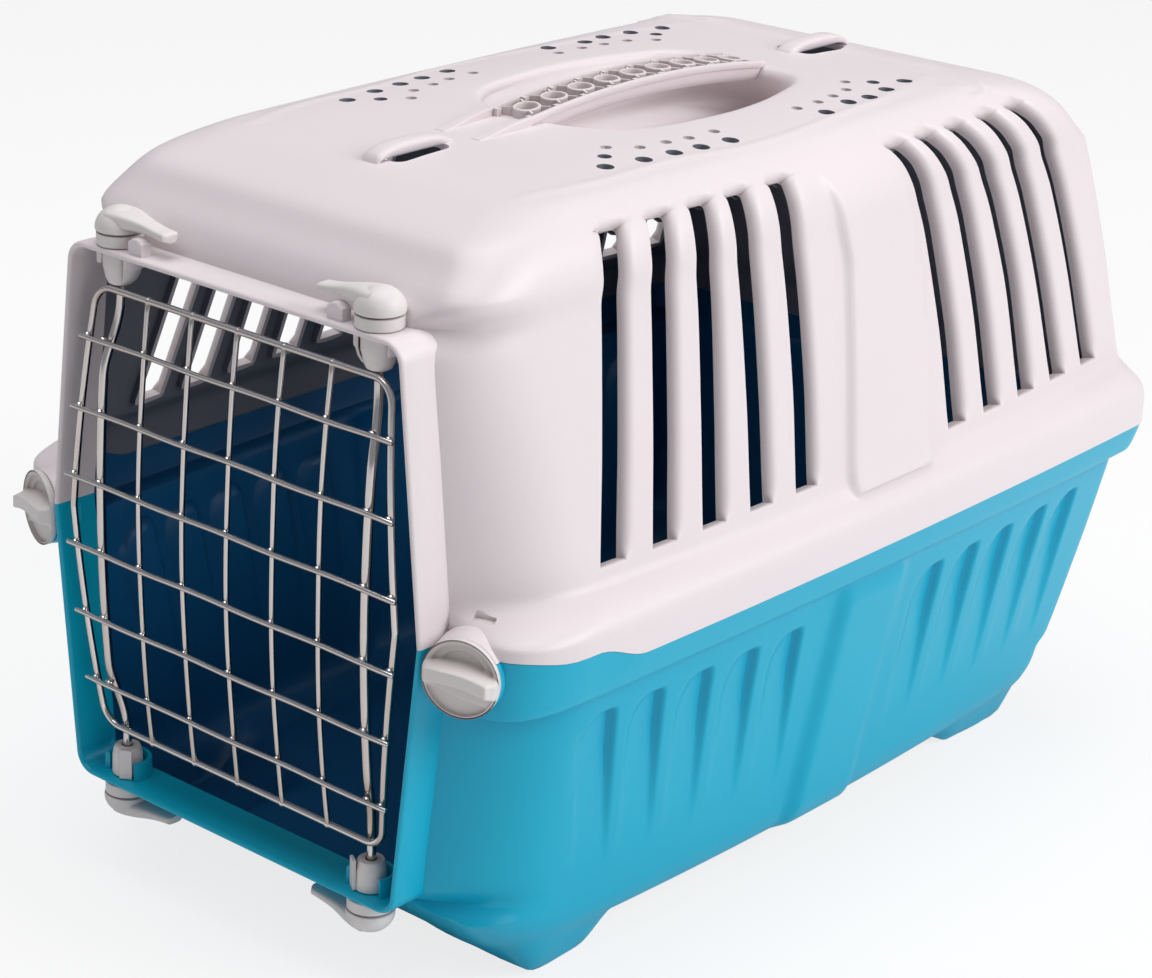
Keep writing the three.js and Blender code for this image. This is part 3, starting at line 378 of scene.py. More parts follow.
LID_LEVELS = np.concatenate([
    np.linspace(156.7, 185.0, 17), [187.2, 189.0, 190.2, 190.9, 191.4, 191.9, 193.0, 195.0],
    np.linspace(199.0, 286.0, 23), [289.6, 292.0, 294.5, 297.0, 299.5, 302.0, 304.5, 307.0, 309.0],
    [311.0, 312.6, 314.2, 314.9, 315.6, 316.2, 316.6, 316.85, 317.0, 317.15, 317.4, 317.8, 318.3, 318.9],
    [319.5, 320.2, 320.9, 321.6, 322.2, 322.8, 323.4, 324.0, 324.5, 325.0, 325.4, 325.75, 326.05],
    [326.3, 326.55, 326.8, 327.0, 327.2, 327.4],
])
BASE_ROWS = [
    wall_row(156.4, 156.9, 240.5, 1.0, BELT, 0),
    wall_row(148.5, 154.8, 239.6, 0.4, BELT, 0),
    wall_row(143.2, 152.9, 238.5, 0.05, BELT, 0),
    wall_row(141.9, 151.2, 237.3, 0.0, BELT, 0),
    wall_row(140.2, 148.9, 236.5, 0.0, WALL, 0.35),
    wall_row(131.0, 147.3, 235.1, 0.0, WALL, 1),
    wall_row(101.0, 142.2, 229.8, 0.0, WALL, 1),
    wall_row(55.0, 135.0, 217.0, 0.0, WALL, 1),
    wall_row(45.3, 133.4, 214.0, 0.0, WALL, 1),
    round_row(38.0, 132.3, -211.0, 212.6, 1, 12.0),
    round_row(30.0, 131.0, -203.0, 210.4, 1, 12.0),
    round_row(20.0, 127.0, -193.0, 204.0, 0.8, 12.0),
    round_row(14.5, 119.0, -187.0, 196.0, 0.2, 12.0),
    round_row(12.0, 110.0, -184.0, 188.0, 0, 12.0),
]
BASE_LEVELS = np.concatenate([
    [156.4, 153.5, 151.0, 148.5, 146.0, 144.4, 143.2, 142.7, 142.3, 141.9, 141.4, 140.8, 140.2, 138.0],
    [133.0, 131.4, 130.2, 129.2, 128.2, 127.0, 125.6, 124.0, 122.0, 120.0, 117.5, 115.0, 112.0],
    np.linspace(108.0, 52.0, 18), [48.5, 45.3, 43.0, 40.5, 38.0, 35.5, 33.0, 30.0, 27.5, 25.0, 22.5, 20.0],
    [18.3, 16.8, 15.6, 14.5, 13.6, 12.9, 12.4, 12.0],
])

FRONT_COLS, CORNER_COLS, REAR_COLS, BACK_COLS = 14, 16, 12, 14
SIDE_FIRST = FRONT_COLS + CORNER_COLS
PROBE_ROW, PROBE_COL = 10, SIDE_FIRST + 40
RING_HEIGHT, RING_REACH = 2e-4, 0.012


def row_values(rows, levels, sign):
    table = np.array(rows, float)
    knots = np.arange(len(rows), dtype=float)
    fine = np.linspace(0, len(rows) - 1, 4000)
    z = monotone(knots, table, fine)[:, 0] * sign
    return monotone(knots, table, np.interp(np.asarray(levels) * sign, z, fine))


LID_TOP_ROW = row_values(LID_ROWS, [SLOT_TOP_Z], 1)[0]


def pillar_lines(z, place):
    return [float(np.interp(z, place[0], ys)) for ys in place[1:3]]


def pillar_marks(z, place):
    """Where the two steps of a pillar start and end along the side."""
    ramp = place[4]
    return [y + shift for y in pillar_lines(z, place) for shift in (-ramp / 2, ramp / 2)]


def side_x(row, y, pillar_place):
    height, ramp = pillar_place[3:]
    front, rear = pillar_lines(row[Z], pillar_place)
    bump = smoothstep((y - front) / ramp + 0.5) - smoothstep((y - rear) / ramp + 0.5)
    return row[HALF] - row[BOW] * ((y - BOW_CENTRE_Y) / HALF_LENGTH) ** 2 + row[PILLAR] * height * bump


def side_run(row):
    """First and last place of the straight side, between the front and the rear corner."""
    return row[START], row[REAR] - row[RADIUS]


def spread(start, end, head, tail, middle):
    """Stations from start to end: close steps at the head and the tail, even ones between."""
    width = end - start
    room = (head[-1] if head else 0.0) + (tail[-1] if tail else 0.0)
    scale = min(1.0, 0.8 * width / room) if room else 1.0
    first = [start] + [start + h * scale for h in head]
    last = [end - t * scale for t in reversed(tail)] + [end]
    inner = [first[-1] + (last[0] - first[-1]) * (i + 1) / (middle + 1) for i in range(middle)]
    return first + inner + last


def across_pillar(marks, on_step, on_face):
    """Stations over a pillar: on its front step, its face and its rear step."""
    out = []
    for start, end, middle in zip(marks[:-1], marks[1:], (on_step, on_face, on_step)):
        out += spread(start, end, (), (), middle)[:-1]
    return out


SLOT_FINE = 20
SLOT_CURVES = monotone(np.array(SLOT_LEVELS), np.array(SLOT_YS),
                       np.arange(SLOT_BOTTOM_Z, SLOT_TOP_Z + 0.01, 1 / SLOT_FINE))


def slot_edges(z, row, crown=SLOT_CROWN):
    """Front and rear edges of the ten slots at one height, drawn in by the crown at their tops."""
    place = int(round((z - SLOT_BOTTOM_Z) * SLOT_FINE))
    front = SLOT_CURVES[min(max(place, 0), len(SLOT_CURVES) - 1)]
    edges = np.stack([front, front + SLOT_WIDTH], 1)
    if z > SLOT_TOP_Z:
        top_start, top_end = side_run(LID_TOP_ROW)
        start, end = side_run(row)
        share = (edges - top_start) / (top_end - top_start)
        edges = start + share * (end - start)
        inset = crown * (1 - smoothstep((z - SLOT_TOP_Z) / SLOT_CROWN_Z))
    else:
        q = np.clip((z - (SLOT_TOP_Z - SLOT_CROWN_Z)) / SLOT_CROWN_Z, 0, 1)
        inset = crown * (1 - math.sqrt(1 - q * q))
    scale = (edges[:, 1] - edges[:, 0]) / SLOT_WIDTH
    edges[:, 0] += inset * scale
    edges[:, 1] -= inset * scale
    return edges


ROLL_HEAD = (0.3, 0.9, 1.8, 3.0, 4.6)
ROLL_TAIL = (0.3, 0.9)


def lid_stations(row):
    """Places along the side where the lid's columns run: close together round the slots."""
    z = row[Z]
    edges = slot_edges(z, row)
    start, end = side_run(row)
    squeeze = 1.0
    if z > SLOT_TOP_Z:
        top_start, top_end = side_run(LID_TOP_ROW)
        squeeze = (end - start) / (top_end - top_start)
    marks = [y * squeeze for y in pillar_marks(z, PILLAR_LID)]
    out = spread(start, edges[0, 0], (), ROLL_TAIL, 5)[:-1]
    for k, (front, rear) in enumerate(edges):
        out += [front + (rear - front) * i / SLOT_COLS for i in range(SLOT_COLS)]
        if k == LAST_OF_FRONT_GROUP:
            out += spread(rear, marks[0], ROLL_HEAD, (), 3)[:-1]
            out += across_pillar(marks, 3, 12)
            out += spread(marks[3], edges[k + 1, 0], (), ROLL_TAIL, 4)[:-1]
        elif k == SIDE_COUNT - 1:
            out += spread(rear, end, ROLL_HEAD, (), 5)
        else:
            out += spread(rear, edges[k + 1, 0], ROLL_HEAD, ROLL_TAIL, 4)[:-1]
    return out


def flute_lines(z):
    t = np.clip((FLUTE_TOP_Z - z) / (FLUTE_TOP_Z - FLUTE_BOTTOM_Z), 0, 1)
    rear = np.array(FLUTE_TOP_YS) + (np.array(FLUTE_BOTTOM_YS) - np.array(FLUTE_TOP_YS)) * t
    return np.stack([rear - FLUTE_WIDTH, rear], 1)


FLUTE_HEAD = (1.0, 2.4)
FLUTE_TAIL = (0.9, 1.8, 2.8, 3.8, 5.2)
FLUTE_FIRST_GAP = 3.0
AFTER_FLUTE = (1.2,)


def base_stations(row):
    """Places along the side where the base's columns run: close together at the flutes' edges."""
    start, end = side_run(row)
    squeeze = min(1.0, (end - start) / FLUTED_RUN)
    middle = (start + end) / 2
    lines = middle + (flute_lines(row[Z]) - middle) * squeeze
    lines[0, 0] = max(lines[0, 0], start + FLUTE_FIRST_GAP)
    marks = pillar_marks(row[Z], PILLAR_BASE)
    out = spread(start, lines[0, 0], (), (), 2)[:-1]
    for k, (front, rear) in enumerate(lines):
        out += spread(front, rear, FLUTE_HEAD, FLUTE_TAIL, 4)[:-1]
        if k == LAST_OF_FRONT_GROUP:
            out += spread(rear, marks[0], AFTER_FLUTE, (), 5)[:-1]
            out += across_pillar(marks, 4, 10)
            out += spread(marks[3], lines[k + 1, 0], (), (), 2)[:-1]
        elif k == SIDE_COUNT - 1:
            out += spread(rear, end, (1.0,), (), 5)
        else:
            out += spread(rear, lines[k + 1, 0], AFTER_FLUTE, (), 1)[:-1]
    return out


def corner_curve(start, end, leave, arrive):
    """Places on the curve that takes the front wall round into the side."""
    c1, c2 = start + leave, end - arrive
    out = []
    for i in range(CORNER_COLS):
        t = i / CORNER_COLS
        out.append(tuple((1 - t) ** 3 * start + 3 * t * (1 - t) ** 2 * c1
                         + 3 * t * t * (1 - t) * c2 + t**3 * end))
    return out


def shell_grid(rows, levels, sign, stations, pillar_place):
    """Points of the right-hand half of a shell, one row for each level."""
    grid = []
    for row in row_values(rows, levels, sign):
        neck, front, rear, radius = row[NECK], row[FRONT], row[REAR], row[RADIUS]
        line = [(neck * i / FRONT_COLS, front) for i in range(FRONT_COLS)]
        ys = stations(row)
        side_start = np.array([side_x(row, ys[0], pillar_place), ys[0]])
        line += corner_curve(np.array([neck, front]), side_start, row[LEAVE], row[ARRIVE])
        line += [(side_x(row, y, pillar_place), y) for y in ys]
        end_x, end_y = line[-1]
        for i in range(1, REAR_COLS + 1):
            a = math.pi / 2 * i / REAR_COLS
            line.append((end_x - radius + radius * math.cos(a), end_y + radius * math.sin(a)))
        back_x = end_x - radius
        line += [(back_x * (1 - i / BACK_COLS), rear) for i in range(1, BACK_COLS + 1)]
        line = np.array(line)
        z = row[Z] + row[RISE] * SPLIT_RISE * split_share(line[:, 1])
        grid.append(np.column_stack([line, z]))
    return np.array(grid)


def grid_normals(grid, flip):
    """Outward normals of a grid, judged by one place on the right-hand side."""
    du = np.gradient(grid, axis=1)
    dv = np.gradient(grid, axis=0)
    du[:, 0, 1:] = 0
    du[:, -1, 1:] = 0
    n = np.cross(du, dv)
    n /= np.maximum(np.linalg.norm(n, axis=2), 1e-9)[..., None]
    n = -n if flip else n
    return -n if n[PROBE_ROW, PROBE_COL, 0] < 0 else n


def grid_faces(cols, keep, flip):
    i, j = np.nonzero(keep)
    a = i * cols + j
    quads = np.stack([a, a + 1, a + 1 + cols, a + cols], 1)
    return quads[:, ::-1] if flip else quads


def level_place(levels, z):
    """The row of the grid nearest to a height."""
    return int(np.argmin(np.abs(levels - z)))


def close_shell(name, points, quads, floor_y, floor_z, wall, sharp):
    """Mirrors the right-hand half of a skin, closes its floor and gives it its wall."""
    obj = make_object(name, points, quads.tolist(), 40)
    fix_normals(obj)
    mirror = obj.modifiers.new("mirror", "MIRROR")
    mirror.use_axis = (True, False, False)
    mirror.merge_threshold = 1e-5
    apply_all(obj)
    cap_open_ring(obj, floor_z * MM, floor_y * MM)
    fix_normals(obj)
    outward(obj)
    thicken(obj, wall, sharp)
    return obj


def thicken(obj, wall, sharp):
    """Gives the skin its wall; the inside takes the second material slot, where dress puts the inside plastic
    painted darker as painted shade.
    """
    for place in ("outside", "inside"):
        obj.data.materials.append(bpy.data.materials.new(place))
    solid = obj.modifiers.new("wall", "SOLIDIFY")
    solid.thickness = wall * MM
    solid.offset = -1
    solid.material_offset = 1
    apply_all(obj, sharp)


def cap_open_ring(obj, z, y):
    """Closes the small ring left in the middle of a floor."""
    bm = bmesh.new()
    bm.from_mesh(obj.data)
    edges = [e for e in bm.edges if e.is_boundary
             and all(abs(v.co.z - z) < RING_HEIGHT and math.hypot(v.co.x, v.co.y - y) < RING_REACH
                     for v in e.verts)]
    bmesh.ops.contextual_create(bm, geom=edges)
    bm.to_mesh(obj.data)
    bm.free()


def outward(obj):
    """Turns the skin over if its outermost face looks inward."""
    mesh = obj.data
    outermost = max(mesh.polygons, key=lambda p: abs(p.center.x) * (p.area > 1e-7))
    if outermost.normal.x * outermost.center.x < 0:
        mesh.flip_normals()


# Lid shell

WELL_CENTRE_Y = 30.0
WELL_RIM = [(0, -64.2), (20, -60.8), (38, -51.0), (49, -34.0), (53.5, -8.0), (55.0, 16.0), (52.5, 42.0),
            (46.5, 66.0), (40.0, 82.0), (28.0, 91.5), (0, 94.5)]
WELL_FLOOR = [(0, -24.0), (14, -22.5), (23, -16.0), (28.0, -4.0), (30.0, 20.0), (30.0, 50.0), (29.0, 72.0),
              (24.0, 85.0), (14.0, 91.0), (0, 92.0)]
WELL_FLOOR_Z = 303.0
WELL_RIM_ROLL = 4.0
WELL_FLOOR_ROLL = 6.0
ROOF_Z = 327.4
BEAD_SIDE = [(77, -150.2), (84, -114.2), (84.5, -64.2), (90, -24.2), (89.5, 14), (84.5, 60), (82.5, 86),
             (74, 130), (71, 142)]
BEAD_REAR = [(0, 159.5), (50, 159), (75, 156.5), (92, 151), (99, 144), (99.5, 138)]
BEAD_SIDE_SIZE, BEAD_REAR_SIZE = (2.0, 0.7), (2.2, 1.5)
BEAD_START_Z = 314.2
RIM_ROWS = 14


def polar_reach(outline, angles):
    """Distance from the well's centre to a closed outline at the given angles."""
    before = [(-x, y) for x, y in outline[1:3]][::-1]
    after = [(-x, y) for x, y in outline[-3:-1]][::-1]
    line = catmull(before + list(outline) + after, 12)
    rel = line - np.array([0.0, WELL_CENTRE_Y])
    a = np.arctan2(rel[:, 1], rel[:, 0])
    ok = (rel[:, 0] > -2.0)
    order = np.argsort(a[ok])
    return np.interp(angles, a[ok][order], np.hypot(*rel[ok].T)[order])


def line_distance(points, line):
    """Least distance of plan points to a polyline."""
    best = np.full(points.shape[:-1], 1e9)
    for a, b in zip(line[:-1], line[1:]):
        d = b - a
        t = np.clip(((points - a) @ d) / (d @ d), 0, 1)
        best = np.minimum(best, np.linalg.norm(points - a - t[..., None] * d, axis=-1))
    return best


def well_rings(roof):
    """Rings of points that lead from the roof's last row up to the well's rim and down to its floor."""
    rel = roof[:, :2] - np.array([0.0, WELL_CENTRE_Y])
    angles = np.arctan2(rel[:, 1], rel[:, 0])
    rim = polar_reach(WELL_RIM, angles)
    floor = polar_reach(WELL_FLOOR, angles)
    reach = np.hypot(*rel.T)
    rings = []

    def ring(radius, z):
        rings.append(np.column_stack([radius * np.cos(angles), WELL_CENTRE_Y + radius * np.sin(angles),
                                      np.broadcast_to(z, radius.shape)]))

    for s in np.linspace(0, 1, RIM_ROWS + 1)[1:]:
        ring(reach + (rim - reach) * s, ROOF_Z + (BODY_HEIGHT - ROOF_Z) * math.sin(s * math.pi / 2))
    for a in np.linspace(0, math.pi / 2, 6)[1:]:
        ring(rim - WELL_RIM_ROLL * math.sin(a), BODY_HEIGHT - WELL_RIM_ROLL * (1 - math.cos(a)))
    top_r, low_r = rim - WELL_RIM_ROLL, floor + WELL_FLOOR_ROLL
    top_z, low_z = BODY_HEIGHT - WELL_RIM_ROLL, WELL_FLOOR_Z + WELL_FLOOR_ROLL
    for s in np.linspace(0, 1, 7)[1:]:
        ring(top_r + (low_r - top_r) * s, top_z + (low_z - top_z) * s)
    for a in np.linspace(0, math.pi / 2, 6)[1:]:
        ring(floor + WELL_FLOOR_ROLL * math.cos(a), WELL_FLOOR_Z + WELL_FLOOR_ROLL * (1 - math.sin(a)))
    for s in (0.75, 0.5, 0.25, 0.06):
        ring(floor * s, WELL_FLOOR_Z)
    return np.array(rings)


def slot_roll(z, across):
    """Size of the rolled edge beside a slot: small in front, large behind, larger at the top."""
    up = smoothstep((z - (SLOT_TOP_Z - SLOT_CROWN_Z)) / SLOT_CROWN_Z)
    low = smoothstep((z - SLOT_BOTTOM_Z) / ROLL_START)
    front = ROLL_FRONT + (ROLL_TOP_FRONT - ROLL_FRONT) * up
    rear = ROLL_FRONT + (ROLL_REAR - ROLL_FRONT) * low + (ROLL_TOP - ROLL_REAR) * up * low
    return front + (rear - front) * across


def slot_depths(grid, values, slot_columns, bottom, top):
    """How far each point of the grid stands in for the rolled edges round the slots."""
    rows, cols = grid.shape[:2]
    steps = np.linalg.norm(np.diff(grid, axis=0), axis=2)
    run = np.concatenate([np.zeros((1, cols)), np.cumsum(steps, axis=0)])
    depth = np.zeros((rows, cols))
    for i in range(bottom - ROWS_BELOW, min(len(LID_LEVELS), top + ROWS_ABOVE)):
        z = LID_LEVELS[i]
        edges = slot_edges(z, values[i], 0.0)
        for (c0, c1), (front, rear) in zip(slot_columns, edges):
            near = slice(max(SIDE_FIRST, c0 - COLS_BEFORE),
                         min(cols - REAR_COLS - BACK_COLS, c1 + COLS_AFTER))
            y = grid[i, near, 1]
            roll = slot_roll(z, np.clip((y - front) / (rear - front), 0, 1))
            beside = np.maximum(np.maximum(front - y, y - rear) + SLOT_CROWN, 0.0)
            over = np.maximum(run[i, near] - run[top, near] + SLOT_CROWN_Z, 0.0)
            under = np.maximum(run[bottom, near] - run[i, near], 0.0)
            away = np.hypot(beside, over)
            steep = (over / np.maximum(away, SMALL)) ** 2
            reach = np.maximum(roll, ROLL_LEAST) * (1 - steep) + ROLL_TOP_REACH * steep
            q = np.hypot(np.maximum(away - SLOT_CROWN, 0.0) / reach, under / ROLL_FRONT)
            amount = roll * (1 - np.sqrt(np.clip(1 - (1 - q) ** 2, 0, 1))) * (q < 1.0)
            depth[i, near] = np.maximum(depth[i, near], amount)
    return depth


def add_beads(grid):
    """Two fine raised lines on the roof."""
    plan = grid[:, :, :2]
    lift = 0.0
    for line, (width, height) in ((BEAD_SIDE, BEAD_SIDE_SIZE), (BEAD_REAR, BEAD_REAR_SIZE)):
        lift = lift + height * np.exp(-((line_distance(plan, catmull(line, 6)) / width) ** 2))
    on_roof = np.zeros(grid.shape[:2])
    on_roof[level_place(LID_LEVELS, BEAD_START_Z):len(LID_LEVELS) + RIM_ROWS] = 1.0
    grid[:, :, 2] += on_roof * lift


def slot_jambs(flat, normals, depth, slot_columns, bottom, top):
    """Points and faces of the slots' walls, from the rolled edges straight inward."""
    cols = flat.shape[1]
    total = flat.shape[0] * cols
    points, faces = [], []
    for c0, c1 in slot_columns:
        loop = ([(bottom, c) for c in range(c0, c1)] + [(row, c1) for row in range(bottom, top)]
                + [(top, c) for c in range(c1, c0, -1)] + [(row, c0) for row in range(top, bottom, -1)])
        i, j = np.array(loop).T
        base, inward, done = flat[i, j], -normals[i, j], depth[i, j]
        jamb_depth = JAMB_DEPTHS[0 if base[0, 1] < 0 else 1]
        previous = i * cols + j
        for share in (0.08, 0.5, 0.94, 1.0):
            now = done + (jamb_depth - done) * share
            points.append(base + inward * now[:, None])
            current = np.arange(total, total + len(loop))
            total += len(loop)
            faces.append(np.stack([previous, np.roll(previous, -1), np.roll(current, -1), current], 1))
            previous = current
    return points, faces


def make_lid_shell():
    grid = shell_grid(LID_ROWS, LID_LEVELS, 1, lid_stations, PILLAR_LID)
    grid = np.concatenate([grid, well_rings(grid[-1])])
    rows, cols = grid.shape[:2]
    normals = grid_normals(grid, False)
    flat = grid.copy()
    values = row_values(LID_ROWS, LID_LEVELS, 1)
    bottom, top = level_place(LID_LEVELS, SLOT_BOTTOM_Z), level_place(LID_LEVELS, SLOT_TOP_Z)
    side_ys = grid[bottom, SIDE_FIRST:cols - REAR_COLS - BACK_COLS, 1]
    slot_columns = []
    for front, _ in slot_edges(SLOT_BOTTOM_Z, values[bottom]):
        c0 = SIDE_FIRST + level_place(side_ys, front)
        slot_columns.append((c0, c0 + SLOT_COLS))
    depth = slot_depths(grid, values, slot_columns, bottom, top)
    grid = grid - normals * depth[..., None]
    add_beads(grid)
    keep = np.ones((rows - 1, cols - 1), bool)
    keep[:level_place(LID_LEVELS, COLLAR_TOP), :FRONT_COLS] = False
    for c0, c1 in slot_columns:
        keep[bottom:top, c0:c1] = False
    points, faces = slot_jambs(flat, normals, depth, slot_columns, bottom, top)
    points = np.concatenate([grid.reshape(-1, 3)] + points)
    quads = np.concatenate([grid_faces(cols, keep, False)] + faces)
    return close_shell("lid_shell_skin", points, quads, WELL_CENTRE_Y, WELL_FLOOR_Z, LID_WALL, 40)


lid_shell = make_lid_shell()

# Base shell

FOOT_FRONT = dict(x=(78.0, 112.0), y=(-166.0, -142.0), reach=(24.0, 9.0, 22.0, 28.0))
FOOT_REAR = dict(x=(62.0, 110.0), y=(146.0, 182.0), reach=(14.0, 9.0, 30.0, 22.0))
FOOT_TOP_Z = 32.0
BOTTOM_Z = 12.0
BOTTOM_CENTRE = np.array([0.0, 2.0])
FLUTE_EDGES = (3.2, 3.4)


def foot_blend(points):
    """Share of height that is kept: nought on a foot's pad, one away from the feet."""
    keep = np.ones(points.shape[:-1])
    for foot in (FOOT_FRONT, FOOT_REAR):
        x, y = points[..., 0], points[..., 1]
        inner, outer, front, rear = foot["reach"]
        qx = np.maximum(np.maximum((foot["x"][0] - x) / inner, (x - foot["x"][1]) / outer), 0)
        qy = np.maximum(np.maximum((foot["y"][0] - y) / front, (y - foot["y"][1]) / rear), 0)
        keep = np.minimum(keep, smoothstep(np.hypot(qx, qy)))
    return keep


def flute_depth(y, z):
    """How far the fluted wall stands in, at places along the side."""
    fade = np.clip((z - FLUTE_BOTTOM_Z) / FLUTE_FADE, 0, 1) ** 0.9
    total = np.zeros_like(y)
    for front, rear in flute_lines(z):
        u = (y - front) / FLUTE_WIDTH
        arch = FLUTE_TOP_Z - FLUTE_ARCH * np.clip(1 - u / 0.62, 0, 1) ** 2
        top = smoothstep((arch - z) / FLUTE_EDGES[0])
        left = smoothstep((y - front) / FLUTE_EDGES[1]) * (0.3 + 0.7 * np.clip(u, 0, 1))
        right = smoothstep((rear - y) / FLUTE_WALL)
        total += FLUTE_DEPTH * fade * top * left * right * ((y > front) & (y < rear))
    return total


def make_base_shell():
    grid = shell_grid(BASE_ROWS, BASE_LEVELS, -1, base_stations, PILLAR_BASE)
    last = grid[-1]
    rings = []
    for s in np.concatenate([np.linspace(0.97, 0.4, 22), [0.25, 0.1, 0.03]]):
        plan = BOTTOM_CENTRE + (last[:, :2] - BOTTOM_CENTRE) * s
        rings.append(np.column_stack([plan, np.full(len(plan), BOTTOM_Z)]))
    grid = np.concatenate([grid, np.array(rings)])
    rows, cols = grid.shape[:2]
    normals = grid_normals(grid, True)
    side = slice(SIDE_FIRST, cols - REAR_COLS - BACK_COLS)
    for i, z in enumerate(BASE_LEVELS):
        grid[i, side] -= normals[i, side] * flute_depth(grid[i, side, 1], z)[:, None]
    keep_height = foot_blend(grid)
    low = grid[..., 2] < FOOT_TOP_Z
    grid[..., 2] = np.where(low, grid[..., 2] * keep_height, grid[..., 2])
    keep = np.ones((rows - 1, cols - 1), bool)
    keep[:level_place(BASE_LEVELS, COLLAR_BOTTOM), :FRONT_COLS] = False
    quads = grid_faces(cols, keep, True)
    points = grid.reshape(-1, 3)
    return close_shell("base_shell_skin", points, quads, BOTTOM_CENTRE[1], BOTTOM_Z, BASE_WALL, 32)


base_shell = make_base_shell()

# Collar round the door, one half on the lid and one on the base


def rounded_line(points, radius, steps=9):
    points = [np.asarray(p, float) for p in points]
    out = [points[0]]
    for a, b, c in zip(points[:-2], points[1:-1], points[2:]):
        u, v = (a - b) / np.linalg.norm(a - b), (c - b) / np.linalg.norm(c - b)
        half = math.acos(np.clip(u @ v, -1, 1)) / 2
        back = radius / math.tan(half)
        centre = b + (u + v) / np.linalg.norm(u + v) * radius / math.sin(half)
        start, end = b + u * back, b + v * back
        a0 = math.atan2(*(start - centre)[::-1])
        a1 = math.atan2(*(end - centre)[::-1])
        turn = (a1 - a0 + math.pi) % (2 * math.pi) - math.pi
        for i in range(steps + 1):
            angle = a0 + turn * i / steps
            out.append(centre + radius * np.array([math.cos(angle), math.sin(angle)]))
    out.append(points[-1])
    return np.array(out)


def densify(line, step):
    out = [line[0]]
    for a, b in zip(line[:-1], line[1:]):
        n = max(1, int(np.linalg.norm(b - a) / step))
        out += [a + (b - a) * (i + 1) / n for i in range(n)]
    return np.array(out)


COLLAR_SECTION = [(COLLAR_BACK_Y, 0.0), (COLLAR_BEND_Y, 0.0), (COLLAR_Y + COLLAR_LIP, 0.0)]
COLLAR_SECTION += [(COLLAR_Y + back, inset)
                   for back, inset in ((0.7, 0.25), (0.15, 0.8), (0.0, 1.3), (0.15, 1.8), (0.7, 2.35))]
COLLAR_SECTION += [(COLLAR_Y + COLLAR_LIP, COLLAR_WALL), (COLLAR_BEND_Y, 2.75), (COLLAR_BACK_Y, 3.0)]


def make_collar(name, corners):
    line = densify(rounded_line(corners, COLLAR_CORNER), 8.0)
    tangent = np.gradient(line, axis=0)
    tangent /= np.linalg.norm(tangent, axis=1)[:, None]
    inward = np.column_stack([-tangent[:, 1], tangent[:, 0]])
    middle = np.array([0.0, COLLAR_WAIST])
    if ((middle - line) * inward).sum() < 0:
        inward = -inward
    rings = [[(p[0] + n[0] * inset, y, p[1] + n[1] * inset) for y, inset in COLLAR_SECTION]
             for p, n in zip(line, inward)]
    return loft_object(name, rings, 40)


WAIST_Z = SPLIT_Z + SPLIT_RISE
WAIST_HALF = collar_half(WAIST_Z)


def collar_corners(end_half, end_z, split_z):
    """From the right-hand end at the split, round the two corners, to the left-hand end."""
    return [(WAIST_HALF, split_z), (end_half, end_z), (-end_half, end_z), (-WAIST_HALF, split_z)]


lid_collar = make_collar("lid_collar", collar_corners(COLLAR_HALVES[2], COLLAR_TOP, WAIST_Z + SPLIT_GAP))
base_collar = make_collar("base_collar", collar_corners(COLLAR_HALVES[0], COLLAR_BOTTOM, WAIST_Z))

# Materials


def new_material(name):
    material = bpy.data.materials.new(name)
    material.use_nodes = True
    nodes = material.node_tree.nodes
    links = material.node_tree.links
    shader = nodes["Principled BSDF"]
    return material, nodes, links, shader


def add_node(nodes, kind, values=None, **settings):
    """A shader node with its settings, and the values of its sockets that nothing feeds."""
    node = nodes.new("ShaderNode" + kind)
    for name, value in settings.items():
        setattr(node, name, value)
    for socket, value in (values or {}).items():
        node.inputs[socket].default_value = value
    return node


def add_noise(nodes, links, where, values):
    noise = add_node(nodes, "TexNoise", values)
    links.new(where.outputs["Object"], noise.inputs["Vector"])
    return noise


def add_mix(nodes, links, factor, first=None, second=None):
    """Mix of two colours, where None leaves a place for a link."""
    values = {socket: (*colour, 1) for socket, colour in ((6, first), (7, second)) if colour}
    mix = add_node(nodes, "Mix", data_type="RGBA")
    for socket, colour in values.items():
        mix.inputs[socket].default_value = colour
    links.new(factor, mix.inputs["Factor"])
    return mix


def add_surface(nodes, links, shader, noise, rough, roughness, strength, distance):
    """Roughness that follows one noise, and a fine bump."""
    shift = add_node(nodes, "MapRange", {"To Min": roughness[0], "To Max": roughness[1]})
    links.new(rough.outputs["Fac"], shift.inputs["Value"])
    links.new(shift.outputs["Result"], shader.inputs["Roughness"])
    bump = add_node(nodes, "Bump", {"Strength": strength, "Distance": distance})
    links.new(noise.outputs["Fac"], bump.inputs["Height"])
    links.new(bump.outputs["Normal"], shader.inputs["Normal"])


GRAIN_SCALE, GRAIN_STRENGTH, GRAIN_DEPTH = 1400.0, 0.12, 0.00035
FLOW_SCALE = 9.0
STREAK_SCALE, STREAK_STRENGTH, STREAK_DEPTH = 260.0, 0.08, 0.0002
CLOUD_SCALE = 30.0


